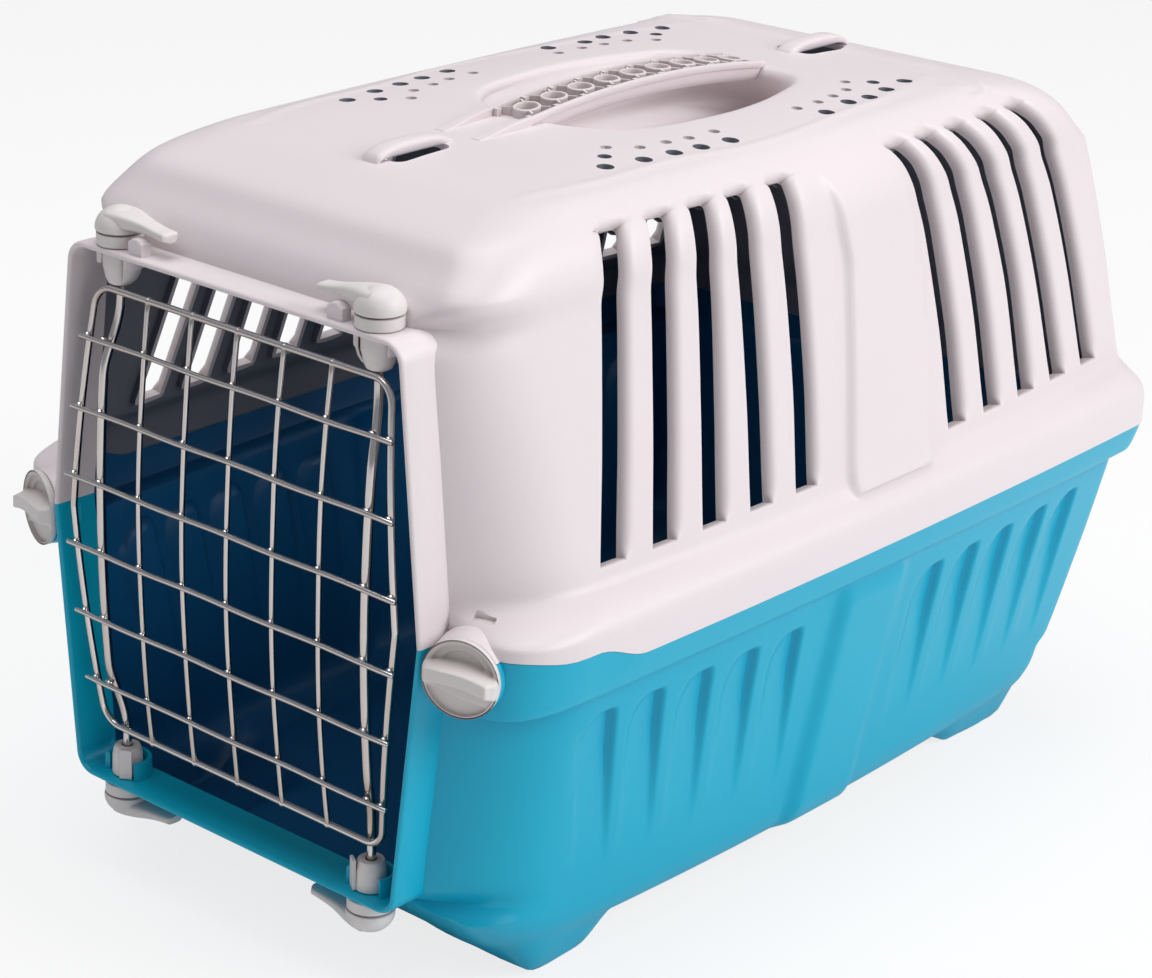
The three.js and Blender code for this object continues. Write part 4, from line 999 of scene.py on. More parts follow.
def plastic(name, colour, painted_shade_colour, roughness, tone=0.03, reach=0.02, gloss=0.5, alone=True):
    """Moulded plastic: fine spark-eroded grain, faint flow tone, and painted shade: a darker colour mixed in
    by ambient occlusion in hollows within reach.
    """
    material, nodes, links, shader = new_material(name)
    where = add_node(nodes, "TexCoord")
    shader.inputs["Specular IOR Level"].default_value = gloss
    fine = add_noise(nodes, links, where, {"Scale": GRAIN_SCALE, "Detail": 3.0})
    flow = add_noise(nodes, links, where, {"Scale": FLOW_SCALE, "Detail": 4.0, "Distortion": 0.6})
    darker = [c * (1 - tone) for c in colour]
    lighter = [min(1.0, c * (1 + tone)) for c in colour]
    mix = add_mix(nodes, links, flow.outputs["Fac"], darker, lighter)
    # Painted shade: ambient occlusion mixes the painted shade colour into the base colour in creases and
    # hollows.
    shadow = add_node(nodes, "AmbientOcclusion", {"Distance": reach}, samples=6, only_local=alone)
    hollow = add_mix(nodes, links, shadow.outputs["AO"], painted_shade_colour)
    links.new(mix.outputs[2], hollow.inputs[7])
    links.new(hollow.outputs[2], shader.inputs["Base Color"])
    spread_rough = (roughness - 0.05, roughness + 0.07)
    add_surface(nodes, links, shader, fine, flow, spread_rough, GRAIN_STRENGTH, GRAIN_DEPTH)
    return material


def plated_wire(name):
    """Bright plated wire: drawn streaks, with painted reflections: a warm painted brown below and a painted
    silver highlight on the faces that look up.
    """
    material, nodes, links, shader = new_material(name)
    shader.inputs["Metallic"].default_value = 1.0
    where = add_node(nodes, "TexCoord")
    streak = add_noise(nodes, links, where, {"Scale": STREAK_SCALE, "Detail": 3.0})
    cloud = add_noise(nodes, links, where, {"Scale": CLOUD_SCALE})
    # Painted reflection: warm brown, varied by the cloud noise, for the dark surroundings mirrored in
    # sideways and downward faces.
    tone = add_mix(nodes, links, cloud.outputs["Fac"], (0.34, 0.26, 0.22), (0.52, 0.43, 0.38))
    facing = add_node(nodes, "SeparateXYZ")
    links.new(add_node(nodes, "NewGeometry").outputs["Normal"], facing.inputs["Vector"])
    # Painted highlight: the more a face's normal looks up, the more silver it is painted.
    painted_highlight_share = add_node(nodes, "MapRange", {"From Min": -0.3, "From Max": 0.35},
                      interpolation_type="SMOOTHSTEP")
    links.new(facing.outputs["Z"], painted_highlight_share.inputs["Value"])
    lit = add_mix(nodes, links, painted_highlight_share.outputs["Result"], None, (0.86, 0.85, 0.85))
    links.new(tone.outputs[2], lit.inputs[6])
    links.new(lit.outputs[2], shader.inputs["Base Color"])
    add_surface(nodes, links, shader, streak, streak, (0.10, 0.26), STREAK_STRENGTH, STREAK_DEPTH)
    return material


# The second colour of each plastic is the painted shade that ambient occlusion mixes in at creases and
# hollows.
PALE = plastic("pale_plastic", (0.77, 0.70, 0.72), (0.48, 0.40, 0.39), 0.42, tone=0.012)
BLUE = plastic("blue_plastic", (0.002, 0.40, 0.59), (0.0, 0.14, 0.36), 0.34, tone=0.03, gloss=0.32)
# Insides: the same plastics painted much darker, as painted shade for the little light that reaches into the
# shells through the slots, vents and door.
PALE_SHADED_INSIDE = plastic("pale_plastic_painted_shade_inside", (0.25, 0.26, 0.30), (0.05, 0.06, 0.085), 0.5,
                      tone=0.02, reach=0.10, gloss=0.3, alone=False)
BLUE_SHADED_INSIDE = plastic("blue_plastic_painted_shade_inside", (0.003, 0.125, 0.32), (0.001, 0.045, 0.13), 0.4,
                      tone=0.03, reach=0.12, gloss=0.4, alone=False)
GREY = plastic("grey_plastic", (0.74, 0.70, 0.69), (0.40, 0.33, 0.31), 0.45, tone=0.02)
WIRE = plated_wire("plated_wire")


def dress(obj, material, body, slot, *nodes, inside=None):
    """Gives a piece its finish and its body, and hides the CAD nodes that it replaces; the slot is not used.
    """
    if inside:
        # Second slot: the inside plastic painted darker, as painted shade.
        obj.data.materials[0] = material
        obj.data.materials[1] = inside
    else:
        obj.data.materials.clear()
        obj.data.materials.append(material)
    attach(obj, body)
    if nodes:
        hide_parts(*nodes)


dress(lid_shell, PALE, "lid", "pale_shell", "lid_shell", inside=PALE_SHADED_INSIDE)
dress(lid_collar, PALE, "lid", "pale_shell")
dress(base_shell, BLUE, "base", "blue_shell", "base_shell", inside=BLUE_SHADED_INSIDE)
dress(base_collar, BLUE, "base", "blue_shell")

# Holes cut through the lid: vents, tunnels under the strap loops, windows of the side locks


def subtract(obj, cutter):
    cut = obj.modifiers.new("cut", "BOOLEAN")
    cut.operation = "DIFFERENCE"
    cut.solver = "MANIFOLD"
    cut.object = cutter
    apply_all(obj, 40)
    bpy.data.objects.remove(cutter)


VENT_LARGE, VENT_MIDDLE, VENT_SMALL = 7.6, 6.2, 5.2
VENTS = {
    VENT_LARGE: ((73.5, -94.8), (76.8, -74.1), (78.4, -56.1), (80.1, -40.2), (81.4, -22.0), (80.7, 47.4),
                 (76.8, 69.3), (77.8, 83.9), (74.9, 101.1), (71.1, 120.7)),
    VENT_MIDDLE: ((63.9, -83.9), (63.6, 106.6)),
    VENT_SMALL: ((55.6, -73.2), (64.7, -62.0), (66.7, -47.2), (68.8, -34.4), (69.4, -17.9), (69.2, 41.3),
                 (68.6, 57.5), (66.7, 71.4), (63.9, 85.2), (55.3, 96.4)),
}
VENT_CUT_ZS = (300.0, 340.0)
STRAP_YS = (-134.0, 146.0)
STRAP_HALF_WIDTH = 5.2
STRAP_HALF_LENGTH = 24.0
STRAP_ROOT_Z, STRAP_RISE, STRAP_THICKNESS, STRAP_FOOT_Z = 325.2, 7.4, 3.2, 327.0
STRAP_HOLE = (10.8, 16.5, 5.0, 316.0, 340.0)
WINDOW_PLACE = np.array([125.0, -226.5, 0.0])
WINDOW_SLAB = (4.6, 14.0, 0.8, 178.0, 181.4)
LOCK_TURN = math.radians(18.0)


def rounded_slab(cx, cy, half_x, half_y, radius, z0, z1, steps=6):
    ring = []
    for sx, sy, a0 in ((1, -1, -90), (1, 1, 0), (-1, 1, 90), (-1, -1, 180)):
        for i in range(steps + 1):
            a = math.radians(a0 + 90 * i / steps)
            ring.append((cx + sx * (half_x - radius) + radius * math.cos(a),
                         cy + sy * (half_y - radius) + radius * math.sin(a)))
    return loft([[(x, y, z) for x, y in ring] for z in (z0, z1)])


def make_vent_cutter(sizes, finish):
    """Bores for the vents of the given sizes. Their walls take the lid's material slot finish; slot 1 is the
    inside plastic with painted shade, so those walls show dark.
    """
    parts = []
    for size in sizes:
        points, faces = turned([(size / 2, z) for z in VENT_CUT_ZS], 20)
        for x, y in VENTS[size]:
            parts += [(points + np.array([sign * x, y, 0.0]), faces) for _, sign in SIDES]
    cutter = fix_normals(join("vent_cutter", parts))
    for material in lid_shell.data.materials:
        cutter.data.materials.append(material)
    for face in cutter.data.polygons:
        face.material_index = finish
    return cutter


def make_lid_cutter():
    parts = [rounded_slab(0, y, *STRAP_HOLE) for y in STRAP_YS]
    for _, sign in SIDES:
        points, faces = rounded_slab(0, 0, *WINDOW_SLAB)
        a = LOCK_TURN * sign
        turn = np.array([[math.cos(a), -math.sin(a), 0], [math.sin(a), math.cos(a), 0], [0, 0, 1]])
        parts.append((points @ turn.T + WINDOW_PLACE * np.array([sign, 1, 1]), faces))
    return fix_normals(join("lid_cutter", parts))


subtract(lid_shell, make_vent_cutter((VENT_SMALL,), 0))
# The large and middle vents' walls take the painted-shade inside plastic, so they show dark; the small ones
# keep the outside plastic.
subtract(lid_shell, make_vent_cutter((VENT_LARGE, VENT_MIDDLE), 1))
subtract(lid_shell, make_lid_cutter())


def strap_arch(name, y0):
    """A low arch along the middle line, open on both sides, for a carrying strap."""
    rings = []
    for s in np.linspace(-1, 1, 25):
        y = y0 + STRAP_HALF_LENGTH * s
        rise = math.sqrt(max(0.0, 1 - abs(s) ** 3.0))
        top = STRAP_ROOT_Z + STRAP_RISE * rise
        half = STRAP_HALF_WIDTH * (0.86 + 0.14 * rise)
        bottom = min(top - STRAP_THICKNESS, STRAP_FOOT_Z)
        ring = []
        for a in np.linspace(0, 2 * np.pi, 28, endpoint=False):
            cx, cz = math.cos(a), math.sin(a)
            px = half * np.sign(cx) * abs(cx) ** 0.55
            pz = (top + bottom) / 2 + (top - bottom) / 2 * np.sign(cz) * abs(cz) ** 0.7
            ring.append((px, y, pz))
        rings.append(ring)
    return loft_object(name, rings, 50)


for name, y in (("strap_loop_front", STRAP_YS[0]), ("strap_loop_rear", STRAP_YS[1])):
    dress(strap_arch(name, y), PALE, "lid", "pale_shell")

# Carry handle: a channel with ring pockets and webs on a smooth strap

HANDLE_TOP = 337.2
HANDLE_MIDDLE_Y = 6.25
HANDLE_REACH = 84.25
HANDLE_DROP = 6.0
RING_COUNT = 9
RING_PITCH = 17.75
RING_FIRST_Y = -59.9
RING_PROFILE = ((4.75, -4.8), (4.75, -0.5), (5.0, -0.1), (5.9, -0.1), (6.25, -0.5), (6.25, -4.8))
HANDLE_ENDS = (-71.0, 93.0)
ROOT_YS = (-104.0, -70.0)
ROOT_TOP_Z, ROOT_FOOT_Z = 328.4, 326.0
ROOT_INNER, ROOT_OUTER = (7.2, 10.2), (13.3, 12.3)
ROOT_CHAMFER = (0.4, 0.5)
WEB_TOP, WEB_HEIGHT = 0.35, 4.6
WEB_TURN = math.radians(38.0)
WEB_ENDS = (5.6, 9.2)
WEB_SPLAY = 0.35
WEB_HALF, BRIDGE_HALF = 0.6, 1.4
BRIDGE_XS = (7.9, 10.2)


def handle_top(y):
    return HANDLE_TOP - HANDLE_DROP * ((y - HANDLE_MIDDLE_Y) / HANDLE_REACH) ** 2


HANDLE_SECTION = [(12.2, -0.5), (12.35, -1.0), (12.35, -2.6), (12.1, -3.1), (11.3, -3.4), (11.3, -4.2),
                  (11.0, -6.4), (9.6, -8.7), (7.0, -10.2), (3.5, -10.9), (0, -11.1)]
HANDLE_CHANNEL = [(0, -4.6), (9.4, -4.6), (10.0, -4.2), (10.3, -0.5), (10.6, 0.0), (11.9, 0.0)]


def handle_bar():
    section = HANDLE_CHANNEL + HANDLE_SECTION
    section += [(-x, dz) for x, dz in section[1:-1]][::-1]
    return loft([[(x, y, handle_top(y) + dz) for x, dz in section] for y in np.linspace(*HANDLE_ENDS, 56)])


def handle_root(sign):
    """One rail of the forked front root, which runs down to the roof as a wedge."""
    start, end = ROOT_YS
    rings = []
    for s in np.linspace(0, 1, 14):
        top = ROOT_TOP_Z + (handle_top(end) - ROOT_TOP_Z) * math.sin(s * math.pi / 2) ** 1.3
        inner, outer = (first + (last - first) * s for first, last in (ROOT_INNER, ROOT_OUTER))
        across, down = ROOT_CHAMFER
        section = ((inner, ROOT_FOOT_Z), (outer, ROOT_FOOT_Z), (outer, top - down), (outer - across, top),
                   (inner + across, top), (inner, top - down))
        rings.append([(sign * x, start + (end - start) * s, z) for x, z in section])
    return loft(rings)


def handle_ring(y0):
    """Round wall of one pocket, tilted with the handle's top."""
    slope = -2 * HANDLE_DROP * (y0 - HANDLE_MIDDLE_Y) / HANDLE_REACH**2
    a = np.linspace(0, 2 * np.pi, 32, endpoint=False)
    rings = []
    for r, dz in RING_PROFILE:
        y = y0 + r * np.sin(a)
        rings.append(np.column_stack([r * np.cos(a), y, handle_top(y0) + dz + slope * (y - y0)]))
    return loft(rings, close_ends=False)


def handle_web(middle_y, sign, side):
    """Slanting web from a pocket's wall to the wall of the channel."""
    rings = []
    for along in WEB_ENDS:
        x = sign * (along * math.cos(WEB_TURN) + (along - WEB_ENDS[0]) * WEB_SPLAY)
        y = middle_y + side * along * math.sin(WEB_TURN)
        top = handle_top(y) - WEB_TOP
        low = top - WEB_HEIGHT
        y0, y1 = y - WEB_HALF, y + WEB_HALF
        rings.append([(x, y0, top), (x, y1, top), (x, y1, low), (x, y0, low)])
    return loft(rings)


def handle_bridge(y0, sign):
    """Short block on the channel's wall between two pockets."""
    top = handle_top(y0) - WEB_TOP
    low = top - WEB_HEIGHT
    x0, x1 = sorted(sign * x for x in BRIDGE_XS)
    return loft([[(x0, y, top), (x1, y, top), (x1, y, low), (x0, y, low)]
                 for y in (y0 - BRIDGE_HALF, y0 + BRIDGE_HALF)])


def make_handle():
    parts = [handle_bar()] + [handle_root(sign) for _, sign in SIDES]
    for i in range(RING_COUNT):
        y0 = RING_FIRST_Y + RING_PITCH * i
        parts.append(handle_ring(y0))
        parts += [handle_web(y0, sign, side) for _, sign in SIDES for side in (1, -1)]
    for i in range(RING_COUNT + 1):
        parts += [handle_bridge(RING_FIRST_Y + RING_PITCH * (i - 0.5), sign) for _, sign in SIDES]
    return soft_join("carry_handle_grip", parts, 35)


dress(make_handle(), PALE, "lid", "pale_shell", "carry_handle")

# Wire door

DOOR_Y = -230.3
DOOR_BULGE = 6.5
DOOR_MIDDLE_Z = 170.5
DOOR_HALF_HEIGHT = 99.8
WIRE_RADIUS = 1.2
FRAME_RADIUS = 1.5
ROD_RADIUS = 2.0
WIRE_FORWARD = 2.75
CROSSWIRE_ZS = (248.3, 217.0, 185.7, 154.4, 123.1, 91.8)
CROSSWIRE_HALVES = (89.7, 93.0, 96.1, 95.8, 92.7, 89.7)
FRAME_HALVES = (84.6, 94.6, 83.4)
FRAME_CORNER = 10.0
UPRIGHT_XS = [26.4 * i for i in range(-2, 3)]
UPRIGHT_PAST = 0.4
WELD_OVERLAP = 0.15
ROD_X = 74.0
ROD_SWELL = 3.6
ROD_ENDS = (54.5, 281.0)
ROD_STRAIGHT, ROD_BEND = 14.0, 34.0

# How far the wires stray from a straight line, and over what length
CROSSWIRE_WAVE, CROSSWIRE_WAVE_LENGTH = 0.25, 11.0
UPRIGHT_WAVE, UPRIGHT_WAVE_LENGTH = 0.2, 17.0

# Radii of the weld beads along X, Y and Z
WELD_UPRIGHT = (1.75, 1.5, 1.75)
WELD_UPRIGHT_END = (1.7, 1.9, 1.9)
WELD_ROD = (2.3, 1.7, 1.8)
WELD_FRAME = (1.9, 1.7, 1.9)
LATCH_Y = -226.8


def door_y(z):
    return DOOR_Y - DOOR_BULGE * (1 - ((z - DOOR_MIDDLE_Z) / DOOR_HALF_HEIGHT) ** 2)


def frame_half(z):
    top, waist, bottom = FRAME_HALVES
    if z > DOOR_MIDDLE_Z:
        return waist + (top - waist) * (z - DOOR_MIDDLE_Z) / DOOR_HALF_HEIGHT
    return waist + (bottom - waist) * (DOOR_MIDDLE_Z - z) / DOOR_HALF_HEIGHT


def wire(name, node, path, radius, sides=14, closed=False):
    """One bar of the door along a path, in place of its CAD node."""
    bar = fix_then_shade(make_object(name, *tube(path, radius, sides, closed), 40), 40)
    dress(bar, WIRE, "door", "bright_wire", node)


def frame_path(top, bottom):
    """Closed line of the door's frame, bowed forward like the door."""
    corners = [(0, bottom), (FRAME_HALVES[2], bottom), (FRAME_HALVES[1], DOOR_MIDDLE_Z),
               (FRAME_HALVES[0], top), (0, top)]
    outline = densify(rounded_line(corners, FRAME_CORNER, 8), 6.0)
    loop = np.concatenate([outline, (outline * np.array([-1, 1]))[::-1][1:-1]])
    return np.column_stack([loop[:, 0], [door_y(z) for z in loop[:, 1]], loop[:, 1]])


def rod_path(sign):
    """Line of a thick rod: behind the crosswires in the middle, in the latch cups at its ends."""
    path = []
    for z in np.linspace(*ROD_ENDS, 64):
        from_end = min(ROD_ENDS[1] - z, z - ROD_ENDS[0])
        bend = smoothstep((from_end - ROD_STRAIGHT) / ROD_BEND)
        layer = door_y(z) - WIRE_FORWARD + WIRE_RADIUS + ROD_RADIUS
        path.append((sign * (ROD_X + ROD_SWELL * bend), LATCH_Y + (layer - LATCH_Y) * bend, z))
    return path


def weld_beads(top, bottom):
    """Small beads where wires, rods and frame are welded to each other."""
    beads = []
    for z in CROSSWIRE_ZS:
        y = door_y(z) - WIRE_FORWARD + WIRE_RADIUS
        beads += [ball((x, y, z), WELD_UPRIGHT) for x in UPRIGHT_XS]
        for _, sign in SIDES:
            beads.append(ball((sign * (ROD_X + ROD_SWELL), y + 0.3, z), WELD_ROD))
            beads.append(ball((sign * frame_half(z), y, z), WELD_FRAME))
    for z in (top, bottom):
        beads += [ball((x, door_y(z) - 0.2, z), WELD_UPRIGHT_END) for x in UPRIGHT_XS]
    return beads


def make_door():
    top, bottom = DOOR_MIDDLE_Z + DOOR_HALF_HEIGHT, DOOR_MIDDLE_Z - DOOR_HALF_HEIGHT
    wire("door_frame_wire", "door_frame", frame_path(top, bottom), FRAME_RADIUS, closed=True)
    for k, (z, half) in enumerate(zip(CROSSWIRE_ZS, CROSSWIRE_HALVES)):
        x = np.linspace(-half, half, 30)
        y = np.full(30, door_y(z) - WIRE_FORWARD)
        path = np.column_stack([x, y, z + CROSSWIRE_WAVE * np.sin(x / CROSSWIRE_WAVE_LENGTH + k)])
        wire(f"crosswire_bar_{k + 1}", f"door_crosswire_{k + 1}", path, WIRE_RADIUS)
    z = np.linspace(bottom - UPRIGHT_PAST, top + UPRIGHT_PAST, 40)
    y = np.array([door_y(v) for v in z]) - WIRE_FORWARD + 2 * WIRE_RADIUS - WELD_OVERLAP
    for k, x in enumerate(UPRIGHT_XS):
        path = np.column_stack([x + UPRIGHT_WAVE * np.sin(z / UPRIGHT_WAVE_LENGTH + k), y, z])
        wire(f"upright_bar_{k + 1}", f"door_upright_{k + 1}", path, WIRE_RADIUS)
    for side, sign in SIDES:
        wire(f"turning_rod_{side}", f"door_rod_{side}", rod_path(sign), ROD_RADIUS, 16)
    dress(join("door_weld_beads", weld_beads(top, bottom), 60), WIRE, "door", "bright_wire")


make_door()

# Latches


def super_ring(x, half_y, z0, z1, power=0.55, count=28):
    ring = []
    for a in np.linspace(0, 2 * np.pi, count, endpoint=False):
        c, s = math.cos(a), math.sin(a)
        ring.append((x, half_y * np.sign(c) * abs(c) ** power,
                     (z0 + z1) / 2 + (z1 - z0) / 2 * np.sign(s) * abs(s) ** power))
    return ring


# Profiles turned about the rod's axis: (radius, height over the collar's face)
DRUM_PROFILE = [(0.5, 0.3), (9.5, 0.3), (9.9, 0.7), (9.9, 5.2), (9.6, 5.5), (9.0, 5.6), (0.5, 5.6)]
DOME_PROFILE = [(0.5, 6.1), (9.6, 6.1), (10.2, 6.4), (10.4, 7.2)]
DOME_PROFILE += [(10.4 * math.cos(a) + 0.02, 7.2 + 9.2 * math.sin(a))
                 for a in np.linspace(0.12, math.pi / 2 - 0.02, 12)]
CUP_PROFILE = [(0.5, -3.2), (7.2, -3.2), (7.4, -4.0), (7.3, -9.5), (7.0, -10.4), (6.2, -14.2), (5.2, -16.4),
               (4.4, -16.9), (2.6, -16.9), (2.4, -16.2), (2.4, -9.0), (0.5, -9.0)]
CLIP_PROFILE = [(0.5, -3.2), (6.6, -3.2), (6.8, -4.0), (6.6, -12.0), (6.0, -15.0), (5.4, -16.2), (2.6, -16.2),
                (2.4, -15.4), (2.4, -8.0), (0.5, -8.0)]
CLIP_FIN = ((-7.6, -4.6), (-3.0, -7.6), (-2.2, -6.6), (-6.6, -3.8))
CLIP_FIN_ZS = (-3.2, -13.0, -16.6)
GUARD_PROFILE = ((-3.2, 9.4), (-9.0, 9.4), (-12.0, 8.6), (-15.0, 6.8))
GUARD_THICKNESS = 1.1
ARM_START_X, ARM_LENGTH = 1.0, 32.5
ARM_HALVES = (8.2, 4.3)
ARM_TOP, ARM_UNDER = 15.4, 7.2


def arm_ring(s):
    """Section of the lever's arm, s running from its root to its tip."""
    half = ARM_HALVES[0] + (ARM_HALVES[1] - ARM_HALVES[0]) * smoothstep(s * 1.5)
    half *= 1.0 - 0.4 * max(0.0, (s - 0.96) / 0.04) ** 2
    top = ARM_TOP - 4.2 * smoothstep((s - 0.1) / 0.9) - 0.8 * max(0.0, (s - 0.95) / 0.05) ** 2
    under = ARM_UNDER + 1.2 * math.sin(math.pi * min(1.0, s))
    return super_ring(ARM_START_X - ARM_LENGTH * s, half, under, top, 0.6)


def lever_parts():
    """Dome over a drum, with an arm that reaches towards -X."""
    arm = loft([arm_ring(s) for s in np.linspace(0, 1, 26)])
    return [turned(DRUM_PROFILE, 48), turned(DOME_PROFILE, 48), arm]


def cup_parts():
    """Tapered cup for the rod's upper end, with a thin guard on its inner side."""
    angles = np.radians(np.linspace(150, 215, 9))
    guard = []
    for z, r in GUARD_PROFILE:
        outer = [(r * math.cos(a), r * math.sin(a), z) for a in angles]
        inside = r - GUARD_THICKNESS
        inner = [(inside * math.cos(a), inside * math.sin(a), z) for a in angles[::-1]]
        guard.append(outer + inner)
    return [turned(CUP_PROFILE, 40), loft(guard)]


def clip_parts():
    """Short clip that holds the rod's lower end, with a fin in front."""
    return [turned(CLIP_PROFILE, 40), loft([[(x, y, z) for x, y in CLIP_FIN] for z in CLIP_FIN_ZS])]


def placed_parts(parts, sign, low):
    """Parts made for the upper right latch, mirrored for the others and moved into place."""
    way = np.array([sign, 1, -1 if low else 1])
    place = np.array([sign * ROD_X, LATCH_Y, COLLAR_BOTTOM if low else COLLAR_TOP])
    return [(np.asarray(points) * way + place, faces) for points, faces in parts]


for end, low in (("top", False), ("bottom", True)):
    for side, sign in SIDES:
        place = f"{end}_{side}"
        lever = soft_join(f"lever_{place}", placed_parts(lever_parts(), sign, low))
        dress(lever, GREY, f"latch_{place}", "grey_fitting", f"latch_lever_{place}")
        cup = soft_join(f"rod_cup_{place}", placed_parts(clip_parts() if low else cup_parts(), sign, low))
        dress(cup, GREY, f"latch_{place}", "grey_fitting", f"latch_cup_{place}")

STOP_MIDDLE_X = 56.8
STOP_OUTLINE = ((52.6, -1.0), (61.0, -1.0), (61.0, 5.2), (58.2, 7.0), (55.4, 7.0), (52.6, 5.2))
STOP_SECTIONS = ((-234.4, 0.5), (-234.0, 0.0), (-229.2, 0.0), (-228.8, 0.5))


def stop_block(name, sign):
    """Chamfered block beside the drum that the arm rests over."""
    rings = []
    for y, inset in STOP_SECTIONS:
        narrower = 1 - inset / 5
        rings.append([(sign * (STOP_MIDDLE_X + (x - STOP_MIDDLE_X) * narrower), y,
                       COLLAR_TOP + (z if z < 0 else z - inset)) for x, z in STOP_OUTLINE])
    return loft_object(name, rings, 30)


for side, sign in SIDES:
    dress(stop_block(f"lever_stop_{side}", sign), PALE, "lid", "pale_shell")


WALL_RADII = (10.6, 8.5)
WALL_START = 2.4
WALL_HEIGHTS = (7.0, 8.5)


def cup_guard(name, sign, low):
    """Half-round wall of the shell behind a cup."""
    way = 1 if low else -1
    base = (COLLAR_BOTTOM if low else COLLAR_TOP) + way * WALL_START
    height = WALL_HEIGHTS[low]
    outer, inner = WALL_RADII
    angles = np.radians(np.linspace(-25, 205, 32))
    rings = []
    for dz, swell in ((0, 0.6), (1.0, 0.1), (height - 0.6, 0.0), (height, -0.4)):
        around = [(outer + swell, a) for a in angles] + [(inner - swell, a) for a in angles[::-1]]
        rings.append([(sign * ROD_X + r * math.cos(a), LATCH_Y + r * math.sin(a), base + way * dz)
                      for r, a in around])
    return loft_object(name, rings, 40)


for side, sign in SIDES:
    dress(cup_guard(f"cup_guard_top_{side}", sign, False), PALE, "lid", "pale_shell")
    dress(cup_guard(f"cup_guard_bottom_{side}", sign, True), BLUE, "base", "blue_shell")

# Side locks

KNOB_PLACE = (124.9, -233.6, 159.7)
KNOB_RADIUS = 16.5
RIDGE_HALF = 4.3
RIDGE_HEIGHT = 6.7
KNOB_SINK = 2.5
KNOB_EDGE = ((KNOB_RADIUS, -1.5), (KNOB_RADIUS - 0.1, -4.0), (KNOB_RADIUS - 0.6, -4.5), (4.0, -4.5))
BOSS_RADIUS = 16.6
BOSS_PROFILE = ((16.0, -4.9), (16.3, -5.3), (BOSS_RADIUS, -9.0), (17.2, -15.0))
PLATE_OUTLINE = np.array([(-6.0, 17.0), (6.0, 17.0), (6.0, 23.0), (-6.0, 23.0)])
PLATE_DEPTHS = (-30.0, -27.0)


def knob_height(u, v):
    """Height of the knob's face, where u runs outward along the ridge and v runs up.

    A ridge crosses the face, with a hollow above it, a flat step below it and a rounded edge all round.
    """
    r = np.hypot(u, v)
    line = 2.0 - 0.010 * u * u - 0.08 * u
    across = np.abs(v - line) / RIDGE_HALF
    ends = 1 - 0.75 * smoothstep((np.abs(u) - 13.0) / 3.4) - 0.02 * np.maximum(0.0, -u - 6.0)
    ridge = RIDGE_HEIGHT * (1 - smoothstep((across - 0.55) / 0.62)) * ends
    upper = (v > line + RIDGE_HALF) * 1.0
    bowl = -1.3 * smoothstep((14.6 - r) / 1.2) * smoothstep((v - line - 3.6) / 1.6)
    inner = -0.8 * smoothstep((10.6 - np.hypot(u, v - 1.0)) / 0.9) * upper
    rim = 0.5 * smoothstep((r - 14.6) / 0.8)
    chord = -8.3 - 0.20 * (u - 4.0)
    low = -1.0 * smoothstep((chord - v) / 0.8) * smoothstep((15.6 - r) / 0.8)
    edge = -1.2 * smoothstep((r - 15.4) / 1.15) ** 2
    return 0.4 - KNOB_SINK + ridge + bowl + inner + rim + low + edge


def knob_frame(points, sign):
    """From the knob's own axes (outward, up, forward) to the carrier's."""
    c, s = math.cos(LOCK_TURN), math.sin(LOCK_TURN)
    outward, up, ahead = points.T
    out = np.column_stack([outward * c + ahead * s, outward * s - ahead * c, up]) + np.array(KNOB_PLACE)
    return out * np.array([sign, 1, 1])


def make_knob(name, sign):
    radii = np.concatenate([np.linspace(0.35, 14.2, 34), np.linspace(14.5, KNOB_RADIUS, 9)])
    a = np.linspace(0, 2 * np.pi, 132, endpoint=False)
    rings = []
    for r in radii:
        u, v = r * np.cos(a), r * np.sin(a)
        rings.append(np.column_stack([u, v, knob_height(u, v)]))
    for r, depth in KNOB_EDGE:
        rings.append(np.column_stack([r * np.cos(a), r * np.sin(a), np.full(len(a), depth)]))
    points, faces = loft([knob_frame(ring, sign) for ring in rings])
    return fix_then_shade(make_object(name, points, faces, 50), 50)


def make_boss(name, sign, upper):
    """Half of the round seat behind the knob."""
    limit = WAIST_Z - KNOB_PLACE[2] + (SPLIT_GAP if upper else 0.0)
    a0 = math.asin(limit / BOSS_RADIUS)
    span = (a0, math.pi - a0) if upper else (math.pi - a0, 2 * math.pi + a0)
    rings = []
    for r, depth in BOSS_PROFILE:
        arc = np.linspace(*span, 40)
        ring = np.column_stack([r * np.cos(arc), r * np.sin(arc), np.full(40, depth)])
        ring = np.vstack([ring, [[0.0, limit, depth]]])
        rings.append(knob_frame(ring, sign))
    return loft_object(name, rings, 40)


def lock_plate(name, sign):
    """Plate seen through the small window over the side lock."""
    rings = [np.column_stack([PLATE_OUTLINE, np.full(4, depth)]) for depth in PLATE_DEPTHS]
    return loft_object(name, [knob_frame(ring, sign) for ring in rings], 30)


for side, sign in SIDES:
    dress(make_knob(f"turn_knob_{side}", sign), GREY, f"knob_{side}", "grey_fitting", f"side_knob_{side}")
    dress(make_boss(f"knob_seat_upper_{side}", sign, True), PALE, "lid", "pale_shell")
    dress(make_boss(f"knob_seat_lower_{side}", sign, False), BLUE, "base", "blue_shell")
for side, sign in SIDES:
    dress(lock_plate(f"lock_window_{side}", sign), GREY, "lid", "grey_fitting")

# The CAD nodes that no skin replaces are the cams behind the knobs
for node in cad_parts.values():
    if not node.hide_render:
        node.data.materials.clear()
        node.data.materials.append(GREY)

# Floor, light and camera

FLOOR_HALF = 6000
FLOOR_GLOW = 0.8
WORLD_COLOUR, WORLD_STRENGTH = (0.93, 0.95, 1.0, 1), 0.23


def mix_seen(nodes, links, factor, lit, shown, output):
    """Joins what lights the carrier and what the camera sees, by factor, at the output."""
    mix = add_node(nodes, "MixShader")
    for socket, source in enumerate((factor, lit, shown)):
        links.new(source, mix.inputs[socket])
    links.new(mix.outputs[0], nodes[output].inputs["Surface"])


